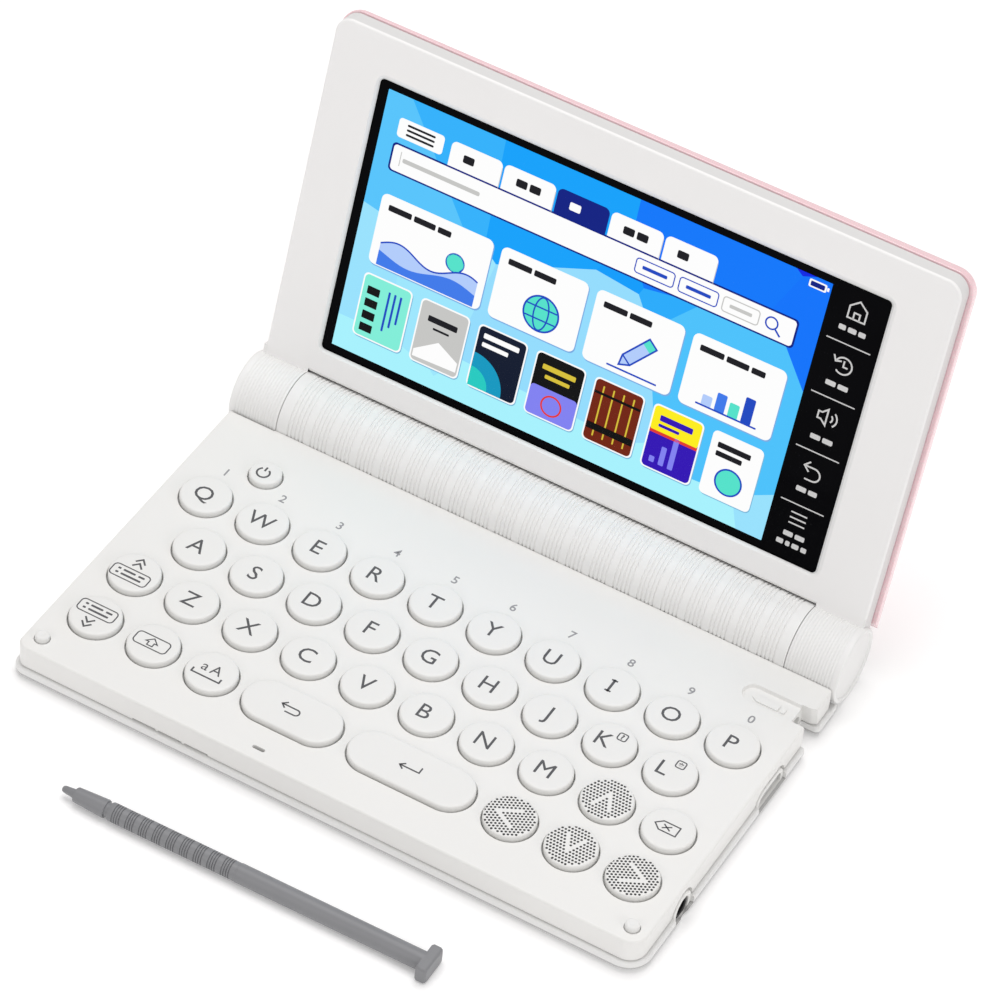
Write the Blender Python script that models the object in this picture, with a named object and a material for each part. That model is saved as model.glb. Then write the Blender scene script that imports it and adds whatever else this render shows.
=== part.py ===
"""Electronic dictionary with a hinged lid, a round-key keyboard and a loose stylus.

Metres, +Z up. X runs along the hinge and Y from the front edge towards the hinge. The origin is the
middle of the flat underside, halfway between the front lip and the back of the barrel.
"""
import math

import bmesh
import bpy
from mathutils import Matrix

MM = 0.001
QUARTER_TURN = 0.5 * math.pi

# Fits and cutter overruns
gap = 0.3 * MM
overrun = 2.0 * MM
edge_chamfer = 0.4 * MM

# Keyboard layout
column_pitch = 14.09 * MM
row_pitch = 13.93 * MM
last_row_pitch = 14.99 * MM
key_radius = 5.6 * MM
key_rise = 1.2 * MM
key_travel = 0.8 * MM
key_chamfer = 0.45 * MM
flange_reach = 0.55 * MM
flange_thickness = 0.6 * MM
power_key_radius = 3.55 * MM
power_key_behind_row = 12.7 * MM
power_key_column_share = 0.5
back_key_column_shares = (2.97, 3.77)
enter_key_column_shares = (4.75, 5.99)
column_count = 10
key_sides = 16

# Base
side_margin = 4.995 * MM
front_margin = 15.03 * MM
keys_to_hinge = 34.5 * MM
lip_overhang = 1.2 * MM
lip_height = 1.8 * MM
lip_radius = 6.0 * MM
lip_rear_setback = 3.6 * MM
deck_wall = 1.2 * MM
side_wall = 1.5 * MM
deck_edge_radius = 0.5 * MM
deck_edge_shares = (0.0, 0.35, 0.7, 1.0)
floor_thickness = 1.0 * MM
rim_thickness = 1.0 * MM
rim_height = 3.2 * MM
boss_radius = 1.6 * MM
boss_height = 2.4 * MM
boss_place_shares = ((-0.88, 0.82), (0.0, 0.82), (0.86, 0.82), (-0.88, -0.25), (0.0, -0.25), (0.8, -0.25))
board_thickness = 1.0 * MM
membrane_thickness = 0.6 * MM
board_border = 0.9 * MM
board_front_border = 2.6 * MM

# Battery barrel and its hinge pins
cell_radius = 7.15 * MM
cell_length = 50.2 * MM
cell_button_radius = 2.7 * MM
cell_button_height = 1.0 * MM
contact_thickness = 1.4 * MM
barrel_wall = 1.15 * MM
barrel_ground_gap = 0.2 * MM
foot_length = 12.0 * MM
foot_height = 1.2 * MM
foot_behind_hinge = 1.0 * MM
foot_end_margin = 4.5 * MM
knuckle_length = 11.6 * MM
knuckle_inset = 0.6 * MM
knuckle_dish_depth = 0.4 * MM
knuckle_dish_margin = 1.5 * MM
pin_radius = 2.6 * MM
pin_collar_radius = 3.4 * MM
pin_collar_width = 1.2 * MM
pin_end_wall = 3.0 * MM
barrel_end_web = 2.0 * MM
pin_grip = 8.0 * MM
door_end_margin = 1.5 * MM
door_low_angle = math.radians(-80)
door_high_angle = math.radians(10)
tongue_width = 100.0 * MM
tongue_thickness = 2.7 * MM
barrel_sides = 36
door_steps = 12
cell_sides = 24

# Stylus, its silo and the notch for its head
stylus_radius = 2.1 * MM
stylus_tip_radius = 0.45 * MM
stylus_nib_radius = 0.95 * MM
stylus_collar_radius = 1.65 * MM
stylus_neck_radius = 1.6 * MM
stylus_grip_radius = 2.0 * MM
nib_length = 3.0 * MM
collar_length = 7.4 * MM
neck_length = 0.9 * MM
grip_length = 30.0 * MM
shaft_length = 42.2 * MM
head_thickness = 2.6 * MM
head_length = 7.4 * MM
head_width = 4.2 * MM
head_edge = 0.6 * MM
stylus_ahead = 22.0 * MM
stylus_place_x = -3.6 * MM
stylus_angle = math.radians(0.9)
stylus_sides = 16
silo_clearance = 0.2 * MM
silo_wall = 0.8 * MM
silo_to_hinge = 18.6 * MM
notch_clearance = 0.6 * MM
notch_wall = 1.3 * MM
notch_floor = 0.55 * MM
thumb_recess_depth = 0.6 * MM
thumb_recess_length = 12.0 * MM
thumb_recess_margin = 0.2 * MM

# Sockets, speaker, slots and bumpers
jack_from_front = 18.9 * MM
jack_height = 3.4 * MM
jack_hole_radius = 2.7 * MM
jack_nose_radius = 2.4 * MM
jack_bore_radius = 1.75 * MM
jack_body_length = 9.5 * MM
jack_body_width = 6.0 * MM
jack_nose_setback = 0.5 * MM
jack_dish_radius = 3.9 * MM
jack_dish_depth = 0.6 * MM
port_from_hinge = 35.5 * MM
port_height = 2.9 * MM
port_cover_length = 10.5 * MM
port_cover_height = 3.4 * MM
port_cover_thickness = 1.3 * MM
port_recess_depth = 1.0 * MM
port_socket_width = 7.6 * MM
port_socket_height = 2.8 * MM
port_socket_depth = 5.4 * MM
port_socket_wall = 0.4 * MM
port_scoop_radius = 1.9 * MM
port_scoop_depth = 0.5 * MM
port_scoop_setback = 0.95 * MM
speaker_length = 20.0 * MM
speaker_width = 10.4 * MM
speaker_thickness = 3.0 * MM
speaker_to_jack = 0.8 * MM
slit_length = 5.6 * MM
slit_pitch = 6.25 * MM
slit_height = 0.7 * MM
slit_middle_x = -35.7 * MM
slit_count = 3
microphone_slot_length = 2.8 * MM
microphone_slot_width = 0.8 * MM
microphone_slot_x = -16.7 * MM
microphone_slot_setback = 2.1 * MM
bumper_radius = 1.7 * MM
bumper_stem_radius = 1.1 * MM
bumper_stem_length = 0.5 * MM
bumper_side_setback = 3.4 * MM
bumper_front_setback = 2.2 * MM
bumper_round = 0.4 * MM

# Lid
lid_rest_angle = math.radians(75.2)
lid_face_inset = 0.2 * MM
bezel_wall = 0.8 * MM
bezel_edge_shares = ((0.0, 0.0), (0.6, 0.25), (1.0, 1.0))
bezel_side_wall = 1.4 * MM
bezel_depth = 4.0 * MM
bezel_edge = 0.5 * MM
bezel_flare = 0.2 * MM
bezel_radius = 3.2 * MM
cover_wall = 1.2 * MM
cover_edge = 0.9 * MM
cover_edge_shares = ((1.0, 0.0), (0.4, 0.2), (0.0, 1.0))
cover_radius = 5.0 * MM
glass_thickness = 1.0 * MM
glass_lap = 1.2 * MM
panel_thickness = 3.3 * MM
panel_border = 1.5 * MM
window_left_margin = 12.3 * MM
window_right_margin = 13.2 * MM
window_top_margin = 9.9 * MM
window_foot = 15.1 * MM
window_radius = 1.0 * MM
lid_foot = 6.0 * MM
barrel_to_lid_gap = 0.45 * MM
web_length = 10.6 * MM

# Sizes that follow from those above
keyboard_half = 0.5 * (column_count - 1) * column_pitch + key_radius + side_margin
bore_half = cell_length + 0.5 * contact_thickness + 2 * gap
pinned_half = bore_half + barrel_end_web + pin_grip + gap + knuckle_length + knuckle_inset
half_width = max(keyboard_half, pinned_half)
barrel_radius = cell_radius + gap + barrel_wall
closed_depth = barrel_radius + keys_to_hinge + 2 * row_pitch + last_row_pitch + front_margin
lip_front = -0.5 * closed_depth
hinge_y = 0.5 * closed_depth - barrel_radius
hinge_z = barrel_radius + barrel_ground_gap
wall_half_width = half_width - lip_overhang
wall_front = lip_front + lip_overhang
wall_radius = lip_radius - lip_overhang
wall_bottom = lip_height + gap
deck_rear = hinge_y - barrel_radius - gap

board_bottom = floor_thickness + boss_height + gap
membrane_bottom = board_bottom + board_thickness + gap
key_bottom = membrane_bottom + membrane_thickness + gap + key_travel
deck_underside = key_bottom + flange_thickness + gap
base_height = deck_underside + deck_wall
key_top = base_height + key_rise

rim_outer_half = wall_half_width - side_wall - gap
rim_inner_half = rim_outer_half - rim_thickness
cavity_front = wall_front + side_wall
cavity_rear = deck_rear - side_wall
cavity_radius = wall_radius - side_wall

silo_y = hinge_y - silo_to_hinge
silo_z = notch_floor + gap + 0.5 * head_length
silo_radius = stylus_radius + silo_clearance
silo_half_width = silo_radius + silo_wall
notch_half_width = 0.5 * head_width + notch_clearance
notch_left = wall_half_width - head_thickness - gap
cavity_step_x = notch_left - notch_wall
cavity_step_y = silo_y - notch_half_width - notch_wall
stylus_length = nib_length + collar_length + neck_length + grip_length + shaft_length + head_thickness
silo_start = notch_left + head_thickness - stylus_length - gap

barrel_half = half_width - knuckle_inset - knuckle_length - gap
knuckle_start = barrel_half + gap
knuckle_end = knuckle_start + knuckle_length
door_half = bore_half - door_end_margin
tongue_bottom = floor_thickness + gap
tongue_front = silo_y + silo_half_width + gap

jack_y = lip_front + jack_from_front
port_y = hinge_y - port_from_hinge
lid_setback = key_top + gap - hinge_z
lid_thickness = bezel_wall + glass_thickness + panel_thickness + cover_wall + 3 * gap
lid_top = hinge_y - lip_front
face_half_width = wall_half_width - lid_face_inset
face_top = lid_top - lip_overhang


def clear_scene():
    """Remove every object, so that the part starts from nothing."""
    for item in list(bpy.data.objects):
        bpy.data.objects.remove(item, do_unlink=True)


def make_finish(name, colour, roughness, metallic=0.0):
    """A Principled material with one colour, roughness and metallic value."""
    material = bpy.data.materials.new(name)
    material.use_nodes = True
    shader = material.node_tree.nodes["Principled BSDF"]
    shader.inputs["Base Color"].default_value = (*colour, 1.0)
    shader.inputs["Roughness"].default_value = roughness
    shader.inputs["Metallic"].default_value = metallic
    material.diffuse_color = (*colour, 1.0)
    return material


def place(name, shape, finish=None, parent=None, origin=(0, 0, 0)):
    """Put a bmesh into the scene as a named object whose own origin is the given point."""
    bmesh.ops.translate(shape, verts=shape.verts, vec=[-value for value in origin])
    mesh = bpy.data.meshes.new(name)
    shape.to_mesh(mesh)
    shape.free()
    piece = bpy.data.objects.new(name, mesh)
    bpy.context.scene.collection.objects.link(piece)
    piece.location = origin
    if finish:
        mesh.materials.append(finish)
        mesh.shade_smooth()
        mesh.set_sharp_from_angle(angle=math.radians(30))
    if parent:
        piece.parent = parent
    return piece


def combine(piece, shape, operation, parent=None):
    """Unite a bmesh with a piece, or cut it away, by a Boolean modifier with a hidden guide."""
    guide = place(f"{piece.name}_guide_{len(piece.modifiers)}", shape, parent=parent)
    guide.hide_render = True
    guide.display_type = "WIRE"
    modifier = piece.modifiers.new(guide.name, "BOOLEAN")
    modifier.operation = operation
    modifier.solver = "EXACT"
    modifier.object = guide


def cut(piece, shape, parent=None):
    combine(piece, shape, "DIFFERENCE", parent)


def unite(piece, shape, parent=None):
    combine(piece, shape, "UNION", parent)


def loft(rings, shape=None):
    """A closed solid through rings of equal count, with both end rings capped."""
    shape = shape or bmesh.new()
    loops = [[shape.verts.new(point) for point in ring] for ring in rings]
    faces = []
    for lower, upper in zip(loops, loops[1:]):
        count = len(lower)
        for index in range(count):
            after = (index + 1) % count
            faces.append(shape.faces.new((lower[index], lower[after], upper[after], upper[index])))
    faces.append(shape.faces.new(list(reversed(loops[0]))))
    faces.append(shape.faces.new(loops[-1]))
    bmesh.ops.recalc_face_normals(shape, faces=faces)
    return shape


def at_height(outline, height):
    return [(x, y, height) for x, y in outline]


def prism(outline, bottom, top, shape=None):
    return loft([at_height(outline, bottom), at_height(outline, top)], shape)


def box(low, high, shape=None):
    outline = [(low[0], low[1]), (high[0], low[1]), (high[0], high[1]), (low[0], high[1])]
    return prism(outline, low[2], high[2], shape)


def stadium(half_length, radius, sides):
    """Two half circles a straight run apart, and a circle where the run is zero."""
    points = []
    for index in range(sides):
        angle = 2 * math.pi * (index + 0.5) / sides
        shift = math.copysign(half_length, math.cos(angle))
        points.append((radius * math.cos(angle) + shift, radius * math.sin(angle)))
    return points


def moved(outline, x, y):
    return [(point[0] + x, point[1] + y) for point in outline]


def round_corner(centre_x, centre_y, radius, start, steps):
    """Points of a quarter circle that starts at an angle and runs anticlockwise."""
    points = []
    for index in range(steps + 1):
        angle = start + QUARTER_TURN * index / steps
        points.append((centre_x + radius * math.cos(angle), centre_y + radius * math.sin(angle)))
    return points


def base_outline(half, front, rear, radius, steps=5):
    """The base from above: square rear corners, round front ones, anticlockwise."""
    left = round_corner(radius - half, front + radius, radius, 2 * QUARTER_TURN, steps)
    right = round_corner(half - radius, front + radius, radius, 3 * QUARTER_TURN, steps)
    return [(half, rear), (-half, rear)] + left + right


def stepped_outline(half, front, rear, radius, step_x, step_y, inward=True):
    """The base outline with its rear right corner stepped in beside the stylus notch.

    With inward false the corner keeps its place, so that rings of both kinds have equal counts.
    """
    corner = (step_x, step_y) if inward else (half, rear)
    return [(half, step_y), corner, (step_x, rear)] + base_outline(half, front, rear, radius)[1:]


def turned(profile, sides, centre=(0, 0)):
    """A solid turned about an axis along X, from (place along X, radius) pairs."""
    rings = []
    for along, radius in profile:
        ring = []
        for index in range(sides):
            angle = 2 * math.pi * (index + 0.5) / sides
            ring.append((along, centre[0] + radius * math.cos(angle), centre[1] + radius * math.sin(angle)))
        rings.append(ring)
    return loft(rings)


def sideways(outline, start, end):
    """A prism along X, whose outline is given as (y, z) pairs."""
    return loft([[(along, y, z) for y, z in outline] for along in (start, end)])


def sector(start, end, inner, outer, low_angle, high_angle, steps):
    """A slice of a tube along X about the hinge axis, between two angles from +Y."""
    angles = [low_angle + (high_angle - low_angle) * index / steps for index in range(steps + 1)]
    outside = [(hinge_y + outer * math.cos(a), hinge_z + outer * math.sin(a)) for a in angles]
    inside = [(hinge_y + inner * math.cos(a), hinge_z + inner * math.sin(a)) for a in reversed(angles)]
    return sideways(outside + inside, start, end)


def column_x(column):
    return (column - 0.5 * (column_count - 1)) * column_pitch


def key_layout():
    """Name, centre, half run and radius of every key, row by row from the back."""
    rows = [hinge_y - keys_to_hinge]
    for pitch in (row_pitch, row_pitch, last_row_pitch):
        rows.append(rows[-1] - pitch)
    names = {
        0: list(enumerate("qwertyuiop")),
        1: [(column + 0.5, letter) for column, letter in enumerate("asdfghjkl")],
        2: [(0, "entry_up")] + [(column + 1, letter) for column, letter in enumerate("zxcvbnm")],
        3: [(0, "entry_down"), (1, "shift"), (2, "space")],
    }
    names[2] += [(8, "arrow_up"), (9, "delete")]
    names[3] += [(7, "arrow_left"), (8, "arrow_down"), (9, "arrow_right")]
    keys = []
    for row, entries in names.items():
        for column, name in entries:
            keys.append((f"key_{name}", column_x(column), rows[row], 0, key_radius))
    for name, shares in (("back", back_key_column_shares), ("enter", enter_key_column_shares)):
        ends = [column_x(share) for share in shares]
        keys.append((f"key_{name}", 0.5 * sum(ends), rows[3], 0.5 * (ends[1] - ends[0]), key_radius))
    power_y = rows[0] + power_key_behind_row
    keys.append(("key_power", column_x(power_key_column_share), power_y, 0, power_key_radius))
    return keys


def make_key(name, x, y, half_run, radius, finish):
    """A cap with a chamfered rim, on a flange that keeps it under the deck."""
    profile = [
        (radius + flange_reach, key_bottom),
        (radius + flange_reach, key_bottom + flange_thickness),
        (radius, key_bottom + flange_thickness),
        (radius, key_top - key_chamfer),
        (radius - key_chamfer, key_top),
    ]
    outlines = [(moved(stadium(half_run, size, key_sides), x, y), height) for size, height in profile]
    shape = loft([at_height(outline, height) for outline, height in outlines])
    place(name, shape, finish, origin=(x, y, key_bottom))


def jack_hole(start):
    profile = [(start, jack_hole_radius), (half_width + overrun, jack_hole_radius)]
    return turned(profile, key_sides, (jack_y, jack_height))


def port_recess():
    radius = 0.5 * port_cover_height + gap
    half_run = 0.5 * (port_cover_length - port_cover_height)
    outline = moved(stadium(half_run, radius, key_sides), port_y, port_height)
    return sideways(outline, wall_half_width - port_recess_depth, half_width + overrun)


def port_opening():
    reach = 0.5 * port_socket_width + gap
    rise = 0.5 * port_socket_height + gap
    low = (rim_inner_half - overrun, port_y - reach, port_height - rise)
    high = (wall_half_width, port_y + reach, port_height + rise)
    return box(low, high)


def notch(left, right, bottom):
    low = (left, silo_y - notch_half_width, bottom)
    high = (right, silo_y + notch_half_width, base_height + overrun)
    return box(low, high)


def silo_bore(start, end):
    return turned([(start, silo_radius), (end, silo_radius)], stylus_sides, (silo_y, silo_z))


def make_top_case(keys, finish):
    """The deck and its side walls, hollow underneath, with every hole that pieces pass through."""
    rings = [at_height(base_outline(wall_half_width, wall_front, deck_rear, wall_radius), wall_bottom)]
    for share in deck_edge_shares:
        lean = share * QUARTER_TURN
        inset = deck_edge_radius * (1 - math.cos(lean))
        height = base_height - deck_edge_radius * (1 - math.sin(lean))
        outline = base_outline(wall_half_width - inset, wall_front + inset, deck_rear, wall_radius - inset)
        rings.append(at_height(outline, height))
    case = place("top_case", loft(rings), finish)
    cavity = stepped_outline(
        wall_half_width - side_wall, cavity_front, cavity_rear, cavity_radius, cavity_step_x, cavity_step_y
    )
    cut(case, prism(cavity, wall_bottom - overrun, deck_underside))
    holes = bmesh.new()
    for name, x, y, half_run, radius in keys:
        outline = moved(stadium(half_run, radius + gap, key_sides), x, y)
        prism(outline, deck_underside - overrun, base_height + overrun, holes)
    slot_half_run = 0.5 * (microphone_slot_length - microphone_slot_width)
    slot = moved(
        stadium(slot_half_run, 0.5 * microphone_slot_width, key_sides),
        microphone_slot_x,
        wall_front + microphone_slot_setback,
    )
    prism(slot, deck_underside - overrun, base_height + overrun, holes)
    for side in (-1, 1):
        outline = moved(stadium(0, bumper_stem_radius + gap, key_sides), *bumper_place(side))
        prism(outline, base_height - bumper_stem_length - gap, base_height + overrun, holes)
    cut(case, holes)
    cut(case, notch(notch_left, half_width, wall_bottom - overrun))
    cut(case, silo_bore(cavity_step_x - overrun, notch_left + overrun))
    recess_radius = notch_half_width - thumb_recess_margin
    half_run = thumb_recess_length - recess_radius
    recess = moved(stadium(half_run, recess_radius, 2 * key_sides), notch_left, silo_y)
    cut(case, prism(recess, base_height - thumb_recess_depth, base_height + overrun))
    cut(case, jack_hole(rim_inner_half))
    dish = [(wall_half_width - jack_dish_depth, jack_dish_radius), (half_width + overrun, jack_dish_radius)]
    cut(case, turned(dish, 2 * key_sides, (jack_y, jack_height)))
    cut(case, port_recess())
    cut(case, port_opening())
    scoop_y = port_y - 0.5 * port_cover_length - port_scoop_setback
    scoop = [(wall_half_width - port_scoop_depth, port_scoop_radius), (half_width, port_scoop_radius)]
    cut(case, turned(scoop, key_sides, (scoop_y, port_height)))
    slits = bmesh.new()
    for index in range(slit_count):
        middle = slit_middle_x + (index - 0.5 * (slit_count - 1)) * slit_pitch
        low = (middle - 0.5 * slit_length, wall_front - overrun, wall_bottom - overrun)
        high = (middle + 0.5 * slit_length, cavity_front + overrun, wall_bottom + slit_height)
        box(low, high, slits)
    cut(case, slits)
    cut(case, tongue_slot(cavity_rear - overrun, deck_rear + overrun, wall_bottom - overrun))


def tongue_slot(front, rear, bottom):
    """Room for the barrel's tongue through a rear wall."""
    reach = 0.5 * tongue_width + gap
    return box((-reach, front, bottom), (reach, rear, tongue_bottom + tongue_thickness + gap))


def bumper_place(side):
    return side * (wall_half_width - bumper_side_setback), wall_front + bumper_front_setback


def rim_outline(inset):
    return stepped_outline(
        rim_outer_half - inset,
        cavity_front + gap + inset,
        cavity_rear - gap - inset,
        cavity_radius - gap - inset,
        cavity_step_x - gap - inset,
        cavity_step_y - gap - inset,
    )


def sheet_outline(inset):
    """The sheets under the keys, which stay clear of the rim, the jack's wall and the silo."""
    half = rim_inner_half - board_border - inset
    front = cavity_front + gap + rim_thickness + board_front_border + inset
    rear = tongue_front - gap - inset
    step_x = silo_start - silo_wall - gap - inset
    step_y = min(silo_y - silo_half_width, cavity_step_y - gap - rim_thickness) - gap - inset
    return stepped_outline(half, front, rear, cavity_radius, step_x, step_y)


def make_bottom_cover(finish):
    """The lower tray: a proud lip, a thin floor, a locating rim, board bosses and the stylus silo."""
    rear = hinge_y - lip_rear_setback
    step = (cavity_step_x - gap, cavity_step_y - gap)
    lip = [
        stepped_outline(half_width - inset, lip_front + inset, rear, lip_radius - inset, *step, inward=False)
        for inset in (edge_chamfer, 0)
    ]
    inner = rim_outline(rim_thickness)
    rings = [
        at_height(lip[0], 0),
        at_height(lip[1], edge_chamfer),
        at_height(lip[1], lip_height),
        at_height(rim_outline(0), lip_height),
        at_height(rim_outline(0), lip_height + rim_height),
        at_height(inner, lip_height + rim_height),
        at_height(inner, floor_thickness),
    ]
    tray = place("bottom_cover", loft(rings), finish)
    bosses = bmesh.new()
    for across_share, along_share in boss_place_shares:
        x = across_share * rim_inner_half
        y = along_share * wall_front
        outline = moved(stadium(0, boss_radius, key_sides), x, y)
        prism(outline, 0.5 * floor_thickness, floor_thickness + boss_height, bosses)
    unite(tray, bosses)
    low = (silo_start - silo_wall, silo_y - silo_half_width, 0.5 * floor_thickness)
    high = (cavity_step_x - gap - 0.5 * rim_thickness, silo_y + silo_half_width, deck_underside - gap)
    unite(tray, box(low, high))
    cut(tray, silo_bore(silo_start, notch_left))
    cut(tray, notch(notch_left, half_width + overrun, -overrun))
    cut(tray, tongue_slot(cavity_rear - rim_thickness - overrun, rear + overrun, floor_thickness))
    clear = [(-half_width - overrun, barrel_radius + gap), (half_width + overrun, barrel_radius + gap)]
    cut(tray, turned(clear, 2 * barrel_sides, (hinge_y, hinge_z)))
    cut(tray, jack_hole(rim_inner_half - gap - overrun))
    cut(tray, port_recess())
    cut(tray, port_opening())


def make_sheet(name, bottom, thickness, inset, finish):
    """A sheet under the keys, cut away round the speaker, the jack and the port's socket."""
    sheet = place(name, prism(sheet_outline(inset), bottom, bottom + thickness), finish)
    top = bottom + thickness + overrun
    half_run = 0.5 * (speaker_length - speaker_width)
    outline = moved(stadium(half_run, 0.5 * speaker_width + gap, key_sides), *speaker_place())
    cut(sheet, prism(outline, bottom - overrun, top))
    reach = 0.5 * jack_body_width + gap
    low = (rim_inner_half - jack_body_length - 2 * gap, jack_y - reach, bottom - overrun)
    cut(sheet, box(low, (half_width, jack_y + reach, top)))
    reach = 0.5 * port_socket_width + gap
    low = (rim_inner_half - port_socket_depth - 2 * gap, port_y - reach, bottom - overrun)
    cut(sheet, box(low, (half_width, port_y + reach, top)))


def speaker_place():
    """Beside the jack, under the space between the arrow keys of the last two rows."""
    last_but_one = hinge_y - keys_to_hinge - 2 * row_pitch
    end = rim_inner_half - jack_body_length - 2 * gap - speaker_to_jack - gap
    return end - 0.5 * speaker_length, last_but_one - 0.5 * last_row_pitch


def make_speaker(finish):
    outline = stadium(0.5 * (speaker_length - speaker_width), 0.5 * speaker_width, key_sides)
    bottom = floor_thickness + gap
    shape = prism(moved(outline, *speaker_place()), bottom, bottom + speaker_thickness)
    place("speaker", shape, finish)


def make_headphone_jack(finish):
    """A box on the floor with a round nose that stands in the hole in the case's side."""
    body_end = rim_inner_half - gap
    body_start = body_end - jack_body_length
    bottom = floor_thickness + gap
    half = 0.5 * jack_body_width
    top = 2 * jack_height - bottom
    body = box((body_start, jack_y - half, bottom), (body_end, jack_y + half, top))
    jack = place("headphone_jack", body, finish)
    centre = (jack_y, jack_height)
    nose = [(body_end - gap, jack_nose_radius), (wall_half_width - jack_nose_setback, jack_nose_radius)]
    unite(jack, turned(nose, key_sides, centre))
    bore = [(body_start + 2 * gap, jack_bore_radius), (half_width, jack_bore_radius)]
    cut(jack, turned(bore, key_sides, centre))


def make_port_socket(finish):
    half = 0.5 * port_socket_width
    rise = 0.5 * port_socket_height
    end = rim_inner_half + rim_thickness
    start = rim_inner_half - gap - port_socket_depth
    low = (start, port_y - half, port_height - rise)
    high = (end, port_y + half, port_height + rise)
    socket = place("port_socket", box(low, high), finish)
    wall = port_socket_wall
    inside_low = (start + wall, low[1] + wall, low[2] + wall)
    cut(socket, box(inside_low, (end + overrun, high[1] - wall, high[2] - wall)))


def make_port_cover(finish):
    """A flap that swings outwards about its rear end."""
    half_run = 0.5 * (port_cover_length - port_cover_height)
    outline = moved(stadium(half_run, 0.5 * port_cover_height, key_sides), port_y, port_height)
    start = wall_half_width - port_recess_depth + gap
    shape = sideways(outline, start, start + port_cover_thickness)
    hinge = (start + port_cover_thickness, port_y + 0.5 * port_cover_length, port_height)
    place("port_cover", shape, finish, origin=hinge)


def make_bumper(name, side, finish):
    x, y = bumper_place(side)
    stem_bottom = base_height - bumper_stem_length
    profile = [
        (bumper_stem_radius, stem_bottom),
        (bumper_stem_radius, base_height + gap),
        (bumper_radius, base_height + gap),
        (bumper_radius, key_top - bumper_round),
        (bumper_radius - bumper_round, key_top),
    ]
    rings = [at_height(moved(stadium(0, radius, key_sides), x, y), height) for radius, height in profile]
    place(name, loft(rings), finish)


def make_barrel(finish):
    """The fixed middle of the barrel: two feet, a bore for two cells in line and a tongue into the base."""
    chamfer = edge_chamfer
    profile = [
        (-barrel_half, barrel_radius - chamfer),
        (chamfer - barrel_half, barrel_radius),
        (barrel_half - chamfer, barrel_radius),
        (barrel_half, barrel_radius - chamfer),
    ]
    axis = (hinge_y, hinge_z)
    barrel = place("barrel_housing", turned(profile, barrel_sides, axis), finish)
    reach = 0.5 * tongue_width
    tongue = box((-reach, tongue_front, tongue_bottom), (reach, hinge_y, tongue_bottom + tongue_thickness))
    unite(barrel, tongue)
    foot_front = hinge_y - lip_rear_setback + gap
    outer = barrel_half - foot_end_margin
    for side in (-1, 1):
        near, far = sorted((side * (outer - foot_length), side * outer))
        unite(barrel, box((near, foot_front, 0), (far, hinge_y + foot_behind_hinge, foot_height)))
    bore_radius = cell_radius + gap
    cut(barrel, turned([(-bore_half, bore_radius), (bore_half, bore_radius)], barrel_sides, axis))
    reach = door_half + gap
    spare = gap / barrel_radius
    angles = (door_low_angle - spare, door_high_angle + spare)
    cut(barrel, sector(-reach, reach, 0.5 * bore_radius, barrel_radius + overrun, *angles, door_steps))
    steps = (
        (bore_half + barrel_end_web - gap, pin_radius + gap),
        (barrel_half - pin_collar_width - gap, pin_collar_radius + gap),
    )
    for side in (-1, 1):
        for start, radius in steps:
            ends = sorted((side * start, side * (barrel_half + overrun)))
            cut(barrel, turned([(along, radius) for along in ends], key_sides, axis))


def make_battery_door(finish):
    """A slice of the barrel's wall at the lower back, which pulls straight off."""
    inner = cell_radius + gap
    angles = (door_low_angle, door_high_angle)
    shape = sector(-door_half, door_half, inner, barrel_radius, *angles, door_steps)
    place("battery_door", shape, finish, origin=(0, hinge_y + barrel_radius, hinge_z))


def make_cell(name, start, finish):
    """A dry cell with its raised button at the +X end."""
    body = cell_length - cell_button_height
    chamfer = edge_chamfer
    profile = [
        (start, cell_radius - chamfer),
        (start + chamfer, cell_radius),
        (start + body - chamfer, cell_radius),
        (start + body, cell_radius - chamfer),
        (start + body, cell_button_radius),
        (start + cell_length, cell_button_radius),
    ]
    place(name, turned(profile, cell_sides, (hinge_y, hinge_z)), finish)


def make_contact(finish):
    """The dished spring plate that presses the cells together."""
    start = -bore_half + gap
    radius = cell_radius - 2 * gap
    profile = [
        (start, radius),
        (start + 0.3 * contact_thickness, radius),
        (start + contact_thickness - gap, 0.5 * radius),
    ]
    place("battery_contact", turned(profile, cell_sides, (hinge_y, hinge_z)), finish)


def make_hinge_pin(name, side, finish):
    """A friction hinge shaft from the barrel's end into the knuckle."""
    start = bore_half + barrel_end_web
    collar_start = barrel_half - pin_collar_width
    end = knuckle_end - pin_end_wall
    profile = [
        (start, pin_radius),
        (collar_start, pin_radius),
        (collar_start, pin_collar_radius),
        (barrel_half, pin_collar_radius),
        (barrel_half, pin_radius),
        (end, pin_radius),
    ]
    if side < 0:
        profile = [(-along, radius) for along, radius in reversed(profile)]
    place(name, turned(profile, key_sides, (hinge_y, hinge_z)), finish)


def lid_outline(half, foot, top, radius, steps=5):
    """The lid from the front, in its own frame: square foot, two round top corners."""
    right = round_corner(half - radius, top - radius, radius, 0, steps)
    left = round_corner(radius - half, top - radius, radius, QUARTER_TURN, steps)
    return [(half, foot)] + right + left + [(-half, foot)]


def window_outline(reach, radius):
    """The window in the lid's face, opened or closed by a reach on every side."""
    left = window_left_margin - face_half_width - reach
    right = face_half_width - window_right_margin + reach
    foot = window_foot - reach
    top = face_top - window_top_margin + reach
    points = round_corner(right - radius, top - radius, radius, 0, 3)
    points += round_corner(left + radius, top - radius, radius, QUARTER_TURN, 3)
    points += round_corner(left + radius, foot + radius, radius, 2 * QUARTER_TURN, 3)
    points += round_corner(right - radius, foot + radius, radius, 3 * QUARTER_TURN, 3)
    return points


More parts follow.
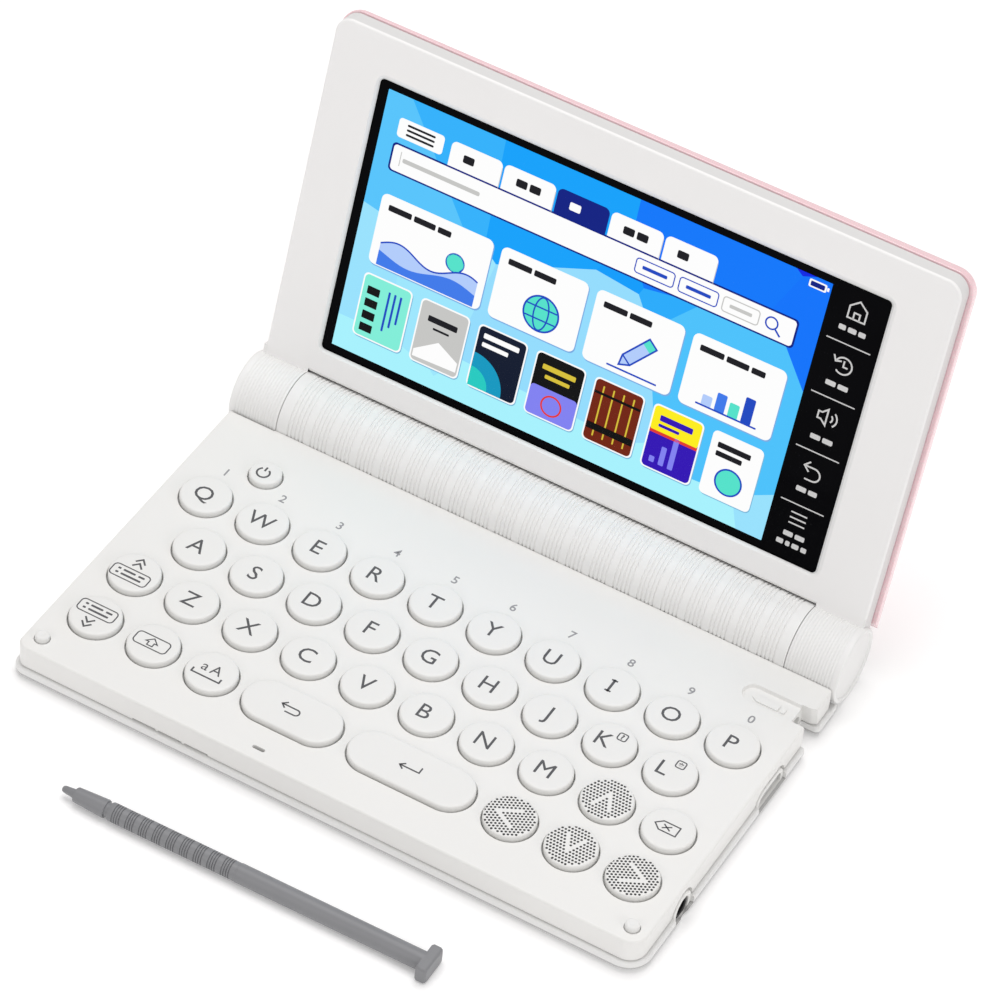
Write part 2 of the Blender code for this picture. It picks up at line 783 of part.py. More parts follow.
def make_lid(finishes):
    """The lid in its own frame: X along the hinge, Y up the lid and Z out of its face."""
    hinge = bpy.data.objects.new("lid_hinge", None)
    bpy.context.scene.collection.objects.link(hinge)
    hinge.location = (0, hinge_y, hinge_z)
    hinge.rotation_euler = (lid_rest_angle, 0, 0)
    face = -lid_setback
    bezel_back = face - bezel_depth
    make_bezel(hinge, face, bezel_back, finishes["white"])
    make_cover(hinge, bezel_back - gap, face - lid_thickness, finishes["pink"])
    glass_front = face - bezel_wall - gap
    glass_back = glass_front - glass_thickness
    glass = prism(window_outline(glass_lap, window_radius), glass_back, glass_front)
    place("touch_glass", glass, finishes["glass"], hinge)
    panel_front = glass_back - gap
    outline = window_outline(glass_lap - panel_border, window_radius)
    panel = prism(outline, panel_front - panel_thickness, panel_front)
    place("lcd_panel", panel, finishes["metal"], hinge)


def barrel_clearance(half):
    """What the lid must leave free round the barrel, in the lid's frame."""
    radius = barrel_radius + barrel_to_lid_gap
    return turned([(-half, radius), (half, radius)], barrel_sides)


def make_bezel(hinge, face, back, finish):
    """The lid's front frame, with a web and a round knuckle at each end of the barrel."""
    steps = [(out * bezel_edge, face - down * bezel_edge) for out, down in bezel_edge_shares]
    steps.append((bezel_edge + bezel_flare, back))
    rings = []
    for growth, level in steps:
        outline = lid_outline(face_half_width + growth, lid_foot, face_top + growth, bezel_radius + growth)
        rings.append(at_height(outline, level))
    bezel = place("lid_bezel", loft(rings), finish, hinge)
    cut(bezel, barrel_clearance(knuckle_start), hinge)
    inside = lid_outline(
        face_half_width - bezel_side_wall,
        window_foot - glass_lap - 2 * gap,
        face_top - bezel_side_wall,
        bezel_radius,
    )
    cut(bezel, prism(inside, back - overrun, face - bezel_wall), hinge)
    window = loft([
        at_height(window_outline(0, window_radius), face - bezel_wall - overrun),
        at_height(window_outline(0, window_radius), face - bezel_wall + gap),
        at_height(window_outline(bezel_wall, window_radius + bezel_wall), face + gap),
    ])
    cut(bezel, window, hinge)
    for side in (-1, 1):
        ends = sorted((side * knuckle_start, side * (knuckle_end - edge_chamfer)))
        unite(bezel, box((ends[0], 0, back), (ends[1], web_length, face)), hinge)
        unite(bezel, knuckle(side), hinge)
        ends = sorted((side * (knuckle_start - overrun), side * (knuckle_end - pin_end_wall + gap)))
        cut(bezel, turned([(along, pin_radius + gap) for along in ends], key_sides), hinge)


def knuckle(side):
    """One end of the barrel, with a chamfered rim and a shallow dish in its outer face."""
    rim = barrel_radius - edge_chamfer
    dish = barrel_radius - knuckle_dish_margin
    profile = [
        (knuckle_start, barrel_radius),
        (knuckle_end - edge_chamfer, barrel_radius),
        (knuckle_end, rim),
        (knuckle_end, dish),
        (knuckle_end - knuckle_dish_depth, dish - knuckle_dish_depth),
    ]
    if side < 0:
        profile = [(-along, radius) for along, radius in reversed(profile)]
    return turned(profile, barrel_sides)


def make_cover(hinge, front, back, finish):
    """The thin back shell, which wraps round the lid's sides and top."""
    steps = [(inward * cover_edge, back + up * cover_edge) for inward, up in cover_edge_shares]
    steps += [(0, front - 0.5 * edge_chamfer), (0.5 * edge_chamfer, front)]
    rings = []
    for inset, level in steps:
        outline = lid_outline(half_width - inset, lid_foot, lid_top - inset, cover_radius - inset)
        rings.append(at_height(outline, level))
    cover = place("lid_cover", loft(rings), finish, hinge)
    inside = lid_outline(
        half_width - 2 * cover_wall,
        window_foot - glass_lap - 2 * gap,
        lid_top - 2 * cover_wall,
        cover_radius - cover_wall,
    )
    cut(cover, prism(inside, back + cover_wall, front + overrun), hinge)
    cut(cover, barrel_clearance(half_width + overrun), hinge)


def make_stylus(finish):
    """The pen, built along +X from its tip and lying on the ground in front of the base."""
    places = [0]
    for length in (nib_length, collar_length, neck_length, grip_length, shaft_length, head_thickness):
        places.append(places[-1] + length)
    profile = [
        (places[0], stylus_tip_radius),
        (places[1], stylus_nib_radius),
        (places[1], stylus_collar_radius),
        (places[2], stylus_grip_radius),
        (places[2], stylus_neck_radius),
        (places[3], stylus_neck_radius),
        (places[3], stylus_grip_radius),
        (places[4], stylus_grip_radius),
        (places[4], stylus_radius),
        (places[5] + 0.5 * head_thickness, stylus_radius),
    ]
    stylus = place("stylus", turned(profile, stylus_sides), finish)
    rings = []
    for inset, along in (
        (head_edge, places[5]),
        (0, places[5] + head_edge),
        (0, places[6] - head_edge),
        (head_edge, places[6]),
    ):
        rings.append(box_ring(0.5 * head_length - inset, 0.5 * head_width - inset, along))
    unite(stylus, loft(rings), stylus)
    stylus.matrix_world = Matrix.Translation(stylus_start()) @ Matrix.Rotation(stylus_angle, 4, "Z")


def box_ring(half_y, half_z, along):
    """A rectangle with cut corners, square to the stylus."""
    bevel = 0.5 * head_edge
    points = []
    for sign_y, sign_z, flip in ((1, 1, 0), (-1, 1, 1), (-1, -1, 0), (1, -1, 1)):
        pair = [
            (along, sign_y * half_y, sign_z * (half_z - bevel)),
            (along, sign_y * (half_y - bevel), sign_z * half_z),
        ]
        points += reversed(pair) if flip else pair
    return points


def stylus_start():
    """Where the tip lies, so that the pen's middle is in front of the base."""
    half_x = 0.5 * stylus_length * math.cos(stylus_angle)
    half_y = 0.5 * stylus_length * math.sin(stylus_angle)
    return stylus_place_x - half_x, lip_front - stylus_ahead - half_y, 0.5 * head_width


def build():
    clear_scene()
    finishes = {
        "white": make_finish("case_white", (0.87, 0.87, 0.86), 0.35),
        "lip": make_finish("lip_white", (0.83, 0.83, 0.82), 0.5),
        "barrel": make_finish("barrel_white", (0.85, 0.85, 0.84), 0.45),
        "key": make_finish("key_white", (0.88, 0.88, 0.87), 0.4),
        "pink": make_finish("cover_pink", (0.93, 0.62, 0.66), 0.25, 0.1),
        "glass": make_finish("glass_black", (0.01, 0.01, 0.012), 0.08),
        "stylus": make_finish("stylus_grey", (0.32, 0.32, 0.34), 0.45),
        "rubber": make_finish("rubber_white", (0.8, 0.8, 0.79), 0.7),
        "board": make_finish("board_green", (0.03, 0.18, 0.08), 0.5),
        "membrane": make_finish("membrane_grey", (0.35, 0.36, 0.38), 0.8),
        "metal": make_finish("bright_metal", (0.7, 0.7, 0.72), 0.3, 1.0),
        "black": make_finish("black_plastic", (0.02, 0.02, 0.02), 0.5),
        "cell": make_finish("cell_jacket", (0.08, 0.1, 0.35), 0.35, 0.3),
    }
    keys = key_layout()
    make_top_case(keys, finishes["white"])
    make_bottom_cover(finishes["lip"])
    make_barrel(finishes["barrel"])
    make_battery_door(finishes["barrel"])
    cell_start = -bore_half + gap + contact_thickness
    make_contact(finishes["metal"])
    make_cell("battery_left", cell_start, finishes["cell"])
    make_cell("battery_right", cell_start + cell_length + gap, finishes["cell"])
    make_sheet("main_board", board_bottom, board_thickness, 0, finishes["board"])
    make_sheet("key_membrane", membrane_bottom, membrane_thickness, gap, finishes["membrane"])
    make_speaker(finishes["black"])
    make_headphone_jack(finishes["black"])
    make_port_socket(finishes["metal"])
    make_port_cover(finishes["white"])
    make_bumper("bumper_left", -1, finishes["rubber"])
    make_bumper("bumper_right", 1, finishes["rubber"])
    make_hinge_pin("hinge_pin_left", -1, finishes["metal"])
    make_hinge_pin("hinge_pin_right", 1, finishes["metal"])
    make_lid(finishes)
    for name, x, y, half_run, radius in keys:
        make_key(name, x, y, half_run, radius, finishes["key"])
    make_stylus(finishes["stylus"])


build()
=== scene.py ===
# %% [markdown]
# # An electronic dictionary, open on a white table
#
# The object is a small clamshell: a keyboard deck in front, a ribbed barrel that holds two dry cells, and
# a lid with a touch display that folds on the barrel. A grey pen lies in front of it.
#
# The moving frame of the object is loaded first, as plain solids. Each visible solid then gets a finer
# piece that stands for it, and every piece rides on one of the bodies.

# %% Load the frame
import math

import bmesh
import bpy
import numpy as np
from mathutils import Matrix, Vector


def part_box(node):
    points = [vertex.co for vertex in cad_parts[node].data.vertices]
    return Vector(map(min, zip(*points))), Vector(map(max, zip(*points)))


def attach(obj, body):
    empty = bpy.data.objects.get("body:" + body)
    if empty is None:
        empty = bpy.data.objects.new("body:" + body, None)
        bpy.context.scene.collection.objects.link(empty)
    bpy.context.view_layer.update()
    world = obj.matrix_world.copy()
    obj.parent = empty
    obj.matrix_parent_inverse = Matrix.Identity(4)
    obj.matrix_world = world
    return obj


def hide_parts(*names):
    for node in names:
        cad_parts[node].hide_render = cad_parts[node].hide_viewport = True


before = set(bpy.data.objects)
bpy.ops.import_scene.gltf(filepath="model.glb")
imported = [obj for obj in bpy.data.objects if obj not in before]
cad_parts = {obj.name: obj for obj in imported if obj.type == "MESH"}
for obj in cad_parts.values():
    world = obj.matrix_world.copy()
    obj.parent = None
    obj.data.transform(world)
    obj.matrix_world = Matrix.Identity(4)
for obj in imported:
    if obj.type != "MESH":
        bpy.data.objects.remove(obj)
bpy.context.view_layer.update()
MM = 0.001

# %% [markdown]
# ## Camera
#
# The photograph looks down on the object from the front right with a long lens, so that upright lines stay
# nearly parallel. A camera can be placed with a location and three angles, or with one matrix whose columns
# are its right, up and backward directions. The matrix is used here, because those three directions are
# what fitting a photograph gives.

# %% The camera
right = np.array((0.865469, 0.493850, 0.084119))
up = np.array((-0.401556, 0.583486, 0.705901))
camera_place = np.array((323.32, -678.23, 794.92))
placing = np.eye(4)
placing[:3, :3] = np.stack((right, up, np.cross(right, up)), axis=1)
placing[:3, 3] = camera_place * MM
camera_data = bpy.data.cameras.new("camera")
camera_data.sensor_width = 36
camera_data.lens = 189.1
camera_data.clip_start = 0.05
camera_data.clip_end = 20
camera = bpy.data.objects.new("camera", camera_data)
bpy.context.scene.collection.objects.link(camera)
camera.matrix_world = Matrix(placing.tolist())
bpy.context.scene.camera = camera
print("camera at", [round(value, 3) for value in camera.matrix_world.translation])

# %% [markdown]
# ## Surfaces from arrays
#
# Almost every part here is a profile carried along a path: a lip round the base, a rounded rim round a key,
# a groove round the barrel. Modelling by hand with extrude and bevel would do it too. Numpy arrays are used
# instead, because a whole ring of points is one line of arithmetic. All sizes below are in millimetres.

# %% Outlines seen from above
def outline(left, right, low, high, radii, steps=12):
    """A rectangle with round corners, anticlockwise from the upper right.

    Each corner is a quarter circle: centre + radius * (cos, sin) of an angle that grows by 90 degrees.
    """
    turn = np.linspace(0, 0.5 * np.pi, steps + 1)
    corners = ((right, high, -1, -1), (left, high, 1, -1), (left, low, 1, 1), (right, low, -1, 1))
    parts = []
    for quarter, ((x, y, to_x, to_y), radius) in enumerate(zip(corners, radii)):
        angle = turn + quarter * 0.5 * np.pi
        across = x + to_x * radius + radius * np.cos(angle)
        along = y + to_y * radius + radius * np.sin(angle)
        parts.append(np.column_stack((across, along)))
    return np.concatenate(parts)


def stadium(x, y, half_run, radius, sides=64):
    """Two half circles a straight run apart: centre + radius * (cos, sin), pushed out by the half run."""
    angle = 2 * np.pi * (np.arange(sides) + 0.5) / sides
    shift = np.copysign(half_run, np.cos(angle))
    return np.column_stack((x + shift + radius * np.cos(angle), y + radius * np.sin(angle)))


def round_over(inset, height, radius, steps=6):
    """A quarter circle from a side wall over to a flat top, as (inset, height) pairs."""
    turn = np.linspace(0, 0.5 * np.pi, steps + 1)
    return list(zip(inset + radius * (1 - np.cos(turn)), height - radius * (1 - np.sin(turn))))


print("a rounded corner has", len(round_over(0, 0, 1)), "points")

# %% Solids from rings of points
def carried(path, profile):
    """Rings of an outline: each (inset, height) pair draws the path that much further in, at that height."""
    rings = []
    for inset, height in profile:
        flat = path(inset)
        rings.append(np.column_stack((flat, np.full(len(flat), height))))
    return np.stack(rings)


def turned(profile, centre, sides=96, start=0.0, end=2 * np.pi):
    """Rings about an axis along X: (along, centre + radius * (cos, sin)), for (along, radius) pairs."""
    along, radius = np.array(profile).T
    whole = end - start > 6.28
    angle = np.linspace(start, end, sides, endpoint=not whole)
    rings = np.empty((len(along), sides, 3))
    rings[..., 0] = along[:, None]
    rings[..., 1] = centre[0] + radius[:, None] * np.cos(angle)
    rings[..., 2] = centre[1] + radius[:, None] * np.sin(angle)
    return rings


def solid(rings, loop=False):
    """Points and faces of a grid of rings. Quads join neighbours, and two flat caps or a loop close it."""
    rows, columns = rings.shape[:2]
    row = np.arange(rows if loop else rows - 1)[:, None]
    column = np.arange(columns)[None, :]
    next_row, next_column = (row + 1) % rows, (column + 1) % columns
    corners = (
        row * columns + column,
        row * columns + next_column,
        next_row * columns + next_column,
        next_row * columns + column,
    )
    faces = np.stack(corners, axis=-1).reshape(-1, 4).tolist()
    if not loop:
        faces += [list(range(columns))[::-1], list(range((rows - 1) * columns, rows * columns))]
    return rings.reshape(-1, 3), faces


def raised(path, profile):
    """The solid of a path carried through (inset, height) pairs."""
    return solid(carried(path, profile))


def puck(x, y, half_run, radius, profile, sides=64):
    """A raised stadium: a round or long button, or a hole for one."""
    return raised(lambda inset: stadium(x, y, half_run, radius - inset, sides), profile)


def prism(path, low, high):
    """A flat outline pushed straight up from one height to another."""
    return raised(lambda inset: path, ((0, low), (0, high)))


def box(low, high):
    """A straight block between two opposite corners."""
    corners = np.array(((low[0], low[1]), (high[0], low[1]), (high[0], high[1]), (low[0], high[1])))
    return prism(corners, low[2], high[2])


def room(left, right, low, high, radii, bottom, top):
    """An upright block with round corners."""
    return prism(outline(left, right, low, high, radii), bottom, top)


def rod(start, end, radius, centre, sides):
    """A cylinder about an axis along X."""
    return solid(turned(((start, radius), (end, radius)), centre, sides))


def joined(shapes):
    """Several shapes as one: their points in a row, and each one's faces counted on from the last."""
    points, faces, count = [], [], 0
    for some_points, some_faces in shapes:
        points.append(some_points)
        faces += [[index + count for index in face] for face in some_faces]
        count += len(some_points)
    return np.concatenate(points), faces


print("a box has", len(box((0, 0, 0), (1, 1, 1))[1]), "faces")

# %% [markdown]
# ## From a shape to a piece
#
# Holes could be left out of a surface by hand, face by face. A Boolean modifier is simpler: the outer form
# stays clean, and each hole is a plain solid that is taken away. The modifiers are applied at once. Flat
# faces then keep an even shade through the Weighted Normal modifier, next to edges that are rounded.

# %% Make an object, cut it and smooth it
def as_object(name, shape):
    points, faces = shape
    mesh = bpy.data.meshes.new(name)
    mesh.from_pydata((np.asarray(points) * MM).tolist(), [], faces)
    made = bmesh.new()
    made.from_mesh(mesh)
    bmesh.ops.recalc_face_normals(made, faces=made.faces)
    made.to_mesh(mesh)
    made.free()
    item = bpy.data.objects.new(name, mesh)
    bpy.context.scene.collection.objects.link(item)
    return item


def apply_modifiers(item):
    graph = bpy.context.evaluated_depsgraph_get()
    mesh = bpy.data.meshes.new_from_object(item.evaluated_get(graph))
    item.modifiers.clear()
    item.data = mesh


def piece(name, shape, finish, body, replaced=(), joins=(), cuts=(), angle=32):
    """One finished piece: shape plus the joins, less the cuts, smoothed up to an angle in degrees."""
    item = as_object(name, shape)
    tools = []
    for operation, others in (("UNION", joins), ("DIFFERENCE", cuts)):
        for other in others:
            tool = as_object("tool", other)
            modifier = item.modifiers.new("tool", "BOOLEAN")
            modifier.operation = operation
            modifier.solver = "EXACT"
            modifier.object = tool
            tools.append(tool)
    if tools:
        apply_modifiers(item)
    item.data.shade_smooth()
    item.data.set_sharp_from_angle(angle=math.radians(angle))
    even = item.modifiers.new("even", "WEIGHTED_NORMAL")
    even.keep_sharp = True
    apply_modifiers(item)
    for tool in tools:
        bpy.data.objects.remove(tool)
    item.data.materials.clear()
    item.data.materials.append(finish)
    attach(item, body)
    if replaced:
        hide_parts(*replaced)
    print(name, len(item.data.polygons), "faces")
    return item


# %% [markdown]
# ## Shader arithmetic
#
# A finish is a few numbers that change a little over the surface. In the shader editor that takes a chain
# of Math nodes. The small class below lets the same chain be written as a Python expression.

# %% Shader values that add, multiply and mix
class Wire:
    """One output socket of a shader tree, on which + - * add a Math node."""

    def __init__(self, tree, socket=None):
        self.tree = tree
        self.socket = socket

    def node(self, kind, settings=None, sockets=None, out=0):
        """Add any node: its settings first, then the values or wires of its sockets."""
        added = self.tree.nodes.new(kind)
        for key, value in (settings or {}).items():
            if key == "stops":
                ramp = added.color_ramp
                while len(ramp.elements) < len(value):
                    ramp.elements.new(1)
                for element, (place, colour) in zip(ramp.elements, value):
                    element.position = place
                    element.color = colour
            else:
                setattr(added, key, value)
        for key, value in (sockets or {}).items():
            if isinstance(value, Wire):
                self.tree.links.new(value.socket, added.inputs[key])
            else:
                added.inputs[key].default_value = value
        return Wire(self.tree, added.outputs[out])

    def maths(self, operation, first, second):
        return self.node("ShaderNodeMath", {"operation": operation}, {0: first, 1: second})

    def part(self, axis):
        """One coordinate: X, Y or Z."""
        return self.node("ShaderNodeSeparateXYZ", None, {0: self}, axis)

    def __add__(self, other):
        return self.maths("ADD", self, other)

    def __sub__(self, other):
        return self.maths("SUBTRACT", self, other)

    def __rsub__(self, other):
        return self.maths("SUBTRACT", other, self)

    def __mul__(self, other):
        return self.maths("MULTIPLY", self, other)

    __radd__, __rmul__ = __add__, __mul__

    def noise(self, scale, detail=2.0):
        return self.node("ShaderNodeTexNoise", None, {"Vector": self, "Scale": scale, "Detail": detail})

    def blend(self, low, high):
        """A colour that runs from low to high as this value goes from 0 to 1."""
        return self.node("ShaderNodeMix", {"data_type": "RGBA"}, {0: self, 6: low, 7: high}, out=2)


def new_finish(name, **constants):
    """A material whose shader sockets are set to constants, with its node and its Object coordinates."""
    material = bpy.data.materials.new(name)
    material.use_nodes = True
    shader = material.node_tree.nodes["Principled BSDF"]
    for key, value in constants.items():
        shader.inputs[key.replace("_", " ")].default_value = value
    place = Wire(material.node_tree).node("ShaderNodeTexCoord", out="Object")
    return material, shader, place


def drive(shader, **wires):
    for key, wire in wires.items():
        wire.tree.links.new(wire.socket, shader.inputs[key.replace("_", " ")])


def grain(place, scale, depth, strength=0.5):
    """Fine moulded texture: noise of a given scale as a bump some millimetres deep."""
    height = place.noise(scale, 3.0)
    sockets = {"Strength": strength, "Distance": depth * MM, "Height": height}
    return place.node("ShaderNodeBump", None, sockets)


print("shader arithmetic is ready")

# %% [markdown]
# ## White plastics
#
# The deck and the lid's face are moulded in a satin white, the keys in a slightly softer one, and the barrel
# in a plain white that shows its grooves. No plastic is one flat colour: it is a little warmer here and
# duller there. Broad noise shifts the colour and the gloss, and a fine noise bumps the surface. Two whites also
# have painted shade in their colour. The tray turns grey a little above the line where its lip is widest, and
# stays so all over its underside: painted shade under the lip. The lid's frame turns grey wherever it lies more
# than half a millimetre behind its face, which is mostly its side band: painted shade on the side. Two materials
# on one piece would do that too, but a colour that depends on a level needs no seam between faces.

# %% Finishes of the white parts
def plain_finish(
    name, dark, light, dull, glossy, fine=1800, depth=0.02, broad=60.0, patches=260.0, **constants
):
    """Colour between two near ones, roughness between two values, and a fine grain as a bump."""
    material, shader, place = new_finish(name, **constants)
    drive(
        shader,
        Base_Color=place.noise(broad).blend((*dark, 1), (*light, 1)),
        Roughness=dull + (glossy - dull) * place.noise(patches),
        Normal=grain(place, fine, depth),
    )
    return material


def white_plastic(name, dark, light, dull, glossy, fine, depth):
    """Satin white, whose colour and gloss change over a wider stretch."""
    return plain_finish(name, dark, light, dull, glossy, fine, depth, 22.0, 140.0, Specular_IOR_Level=0.45)


def white_with_painted_shade(name, dark, light, below, level_of, limit, dull, fine, depth):
    """Satin white with painted shade: greyer where a level, which is a function of the place, is under a limit
    in millimetres.
    """
    material, shader, place = new_finish(name, Specular_IOR_Level=0.45)
    level = level_of(place)
    upper = place.noise(22.0).blend((*dark, 1), (*light, 1))
    # Painted shade: below the limit the colour turns grey, which stands for shade.
    tone = level.maths("LESS_THAN", level, limit * MM).blend(upper, (*below, 1))
    drive(shader, Base_Color=tone, Roughness=dull - 0.1 * place.noise(140.0), Normal=grain(place, fine, depth))
    return material


def height_of(place):
    return place.part("Z")


deck_white = white_plastic("deck_white", (0.81, 0.807, 0.788), (0.85, 0.847, 0.828), 0.38, 0.3, 2600, 0.02)
# The tray's grey below 1.6 mm, and all over its underside, is painted shade under the lip.
lip_white_painted_shade = white_with_painted_shade(
    "tray_white_painted_shade", (0.80, 0.80, 0.79), (0.84, 0.84, 0.83), (0.50, 0.50, 0.495), height_of, 1.6, 0.58, 1900, 0.03
)
key_white = white_plastic("key_white", (0.80, 0.798, 0.78), (0.83, 0.828, 0.81), 0.42, 0.34, 3000, 0.015)
barrel_white = white_plastic("barrel_white", (0.86, 0.86, 0.85), (0.89, 0.89, 0.88), 0.5, 0.4, 2200, 0.02)
bumper_white = white_plastic("bumper_white", (0.80, 0.80, 0.78), (0.84, 0.84, 0.83), 0.6, 0.5, 2400, 0.02)
print("five white finishes")

# %% [markdown]
# ## Colours that are not white
#
# The back shell is a pearl pink: a pale pink with tiny bright flakes under a clear coat. The pen is a plain
# grey plastic, the touch panel is black glass with hardly any colour of its own.

# %% Pink, grey, black and metal finishes
def pearl_pink():
    """Pale pink whose flakes lighten it, under a clear coat."""
    material, shader, place = new_finish("pearl_pink", Coat_Weight=0.7, Coat_Roughness=0.12, Metallic=0.12)
    flakes = place.noise(5200.0, 1.0)
    broad = place.noise(30.0)
    base = broad.blend((0.93, 0.60, 0.65, 1), (0.95, 0.67, 0.71, 1))
    stops = ((0.5, (0, 0, 0, 1)), (0.72, (1, 1, 1, 1)))
    shine = flakes.node("ShaderNodeValToRGB", {"stops": stops}, {0: flakes})
    pearl = shine.blend(base, (1, 0.86, 0.86, 1))
    drive(shader, Base_Color=pearl, Roughness=0.34 - 0.12 * flakes, Normal=grain(place, 3200, 0.012))
    return material


cover_pink = pearl_pink()
stylus_grey = plain_finish("stylus_grey", (0.215, 0.218, 0.228), (0.245, 0.248, 0.26), 0.48, 0.36)
black_glass = plain_finish(
    "black_glass", (0.0015, 0.0015, 0.002), (0.003, 0.003, 0.004), 0.12, 0.06, 30, 0.002,
    Specular_IOR_Level=0.02,
)
black_plastic = plain_finish("black_plastic", (0.012, 0.012, 0.012), (0.02, 0.02, 0.02), 0.5, 0.35)
bright_metal = plain_finish("bright_metal", (0.62, 0.62, 0.63), (0.72, 0.72, 0.72), 0.36, 0.22, Metallic=1.0)
legend_grey = plain_finish("legend_grey", (0.07, 0.07, 0.075), (0.09, 0.09, 0.095), 0.6, 0.5)
digit_grey = plain_finish("digit_grey", (0.28, 0.28, 0.29), (0.32, 0.32, 0.33), 0.6, 0.5)
print("seven other finishes")

# %% [markdown]
# ## The deck
#
# The deck is the white top of the base, with a small round along its edge and a hole for every key. A flat
# top with round holes could be drawn as one curve. Cutting solids out of a rounded block is easier to
# follow, and the cutters can open out at the top, which gives each hole a fine worn rim.

# %% Sizes of the base
hinge = (41.89, 8.8)
deck_top = 8.8
lip_top = 3.0
lip_widest = 1.3
key_top = 10.0
wall_left, wall_right, wall_front = -73.1, 73.2, -50.35
lip_front = -51.09
deck_rear = 33.18
notch_left, notch_y, notch_half = 69.9, 23.29, 2.7
key_radius, power_radius = 5.6, 3.55
tray_left, tray_right, tray_rear = -73.95, 74.1, 36.0
inner_left, inner_right, inner_side = -71.3, 68.6, 71.3
inner_front, inner_rear, side_rear = -47.79, 31.49, 19.29


def node_box(name):
    """The middle and the size of a solid's box, in millimetres."""
    low, high = (np.array(corner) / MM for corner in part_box(name))
    return 0.5 * (low + high), high - low


keys = {}
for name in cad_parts:
    if name.startswith("key_") and name != "key_membrane":
        (x, y, _), (width, depth, _) = node_box(name)
        radius = key_radius if depth > 9 else power_radius
        half_run = max(0.0, 0.5 * (width - depth))
        keys[name] = (x, y, half_run if half_run > 0.5 else 0.0, radius)
print(len(keys), "keys, widest half run", round(max(key[2] for key in keys.values()), 2), "mm")

# %% The deck and its holes
def deck_path(inset):
    radii = (0.25, 0.25, 2.3 - inset, 4.0 - inset)
    return outline(inset + wall_left, wall_right - inset, inset + wall_front, deck_rear, radii)


def deck_block():
    """The path carried up to a rounded edge. The left wall leans out a little as it rises."""
    rings = carried(deck_path, [(0, lip_top + 0.25)] + round_over(0, deck_top, 0.55, 8))
    rings[..., 0] -= np.where(rings[..., 0] < 0, 0.035 * (rings[..., 2] - lip_top), 0)
    return solid(rings)


def inner_rooms(margin, start, left_radius, right_radius, bottom, top):
    """The base's hollow less a margin: a wide block, and one at the right that ends before the notch."""
    front, rear, side = inner_front + margin, inner_rear - margin, side_rear - margin
    radii = (0.2, 0.2, left_radius, right_radius)
    wide = room(inner_left + margin, inner_right - margin, front, rear, radii, bottom, top)
    return wide, room(start, inner_side - margin, front, side, (0.2, 0.2, 0.2, right_radius), bottom, top)


def hole(x, y, half_run, radius, low, top, rim=0.14):
    """A cutter for a hole: straight walls that open out by a small rim at the top."""
    steps = [(0, low), (0, top - 2 * rim)]
    steps += [(-out * rim, top + rise * rim) for out, rise in ((0.35, -0.8), (1.4, 0.4), (3, 2))]
    return puck(x, y, half_run, radius, steps)


def sideways(shape):
    """A shape drawn in (y, z) and pushed along its third axis, turned so that this axis is X."""
    points, faces = shape
    return points[:, (2, 0, 1)], faces


def notch_path(further):
    """The notch from above. Its rear wall stands further back near the table, and turns away at the outside."""
    front, rear = notch_y - notch_half, notch_y + notch_half + further
    turning = ((73.0, rear + 0.55), (72.2, rear + 0.12), (71.6, rear))
    return np.array(((notch_left, front), (80, front), (80, rear + 0.9), *turning, (notch_left, rear)))


jack, port_y, port_z = (-31.59, 2.9), 6.39, 2.6
jack_bore = (jack[0], 3.4)
port_bay = box((68, port_y - 4.1, 1.2), (72.4, port_y + 4.1, 4.6))
bumpers = {"left": (-69.5, -46.14), "right": (69.35, -46.39)}
key_holes = [hole(x, y, run, radius + 0.3, 7.0, deck_top) for x, y, run, radius in keys.values()]
small_holes = [hole(-16.7, -47.19, 1.0, 0.4, 7.0, deck_top, 0.08)]
small_holes += [hole(x, y, 0, 1.72, 8.0, deck_top, 0.06) for x, y in bumpers.values()]
recess_steps = ((-0.9, 9.6), (-0.42, 8.92), (-0.26, 8.74), (-0.16, 8.5), (-0.1, 8.2), (0.05, 8.0), (0.5, 7.9))
thumb_recess = puck(68.6, notch_y, 8.5, 2.3, recess_steps)
port_dish = sideways(puck(port_y, port_z, 2.9, 3.5, ((0, 71.6), (-0.25, 72.9), (-1.0, 76))))
barrel_notch = 50.3
slits = [box((x - 2.8, -52, 0), (x + 2.8, -47, lip_top + 0.65)) for x in (-41.95, -35.7, -29.45)]
piece(
    "deck", deck_block(), deck_white, "base", ("top_case",),
    cuts=(
        *inner_rooms(0, 40, 2, 3.3, 0, 7.6),
        joined(key_holes),
        joined(small_holes),
        thumb_recess,
        box((-80, 32.93, 0), (-62.05, 40, 12)),
        raised(notch_path, ((2.05, -1), (0.1, 8.3), (0.0, 11))),
        rod(60, 71, 2.3, (notch_y, 4.55), 32),
        rod(60, 76, 2.7, jack_bore, 48),
        solid(turned(((71.6, 4.05), (72.9, 4.4), (76, 5.0)), jack, 64)),
        sideways(prism(stadium(port_y, port_z, 2.95, 2.1), 71.8, 76)),
        port_dish,
        port_bay,
        joined(slits),
        box((-barrel_notch, 30, 0), (barrel_notch, 36, 4.3)),
    ),
)

# %% [markdown]
# ## The tray
#
# Under the deck lies a shallow tray whose edge stands a millimetre proud as a rounded lip. Its lower side
# tapers in, so that the base seems to float a little over the table.

# %% The tray with its proud lip
def tray_path(inset):
    radii = (1.2 - inset, 1.2 - inset, 3.0 - inset, 5.4 - inset)
    return outline(inset + tray_left, tray_right - inset, lip_front + inset, tray_rear - inset, radii)


def lifted(points, level):
    """Points whose last coordinate is moved up to a level wherever it lies below."""
    points = np.array(points)
    points[:, -1] = np.maximum(points[:, -1], level)
    return points


def kept_above(shape, level):
    return lifted(shape[0], level), shape[1]


line_level = lip_widest + 0.1
lip_steps = [(1.1, 0), (0.5, 0.65), (0.12, 1.05), (0, lip_widest)] + round_over(0, lip_top, 0.45, 5)
ledge = notch_y + notch_half + 1.0


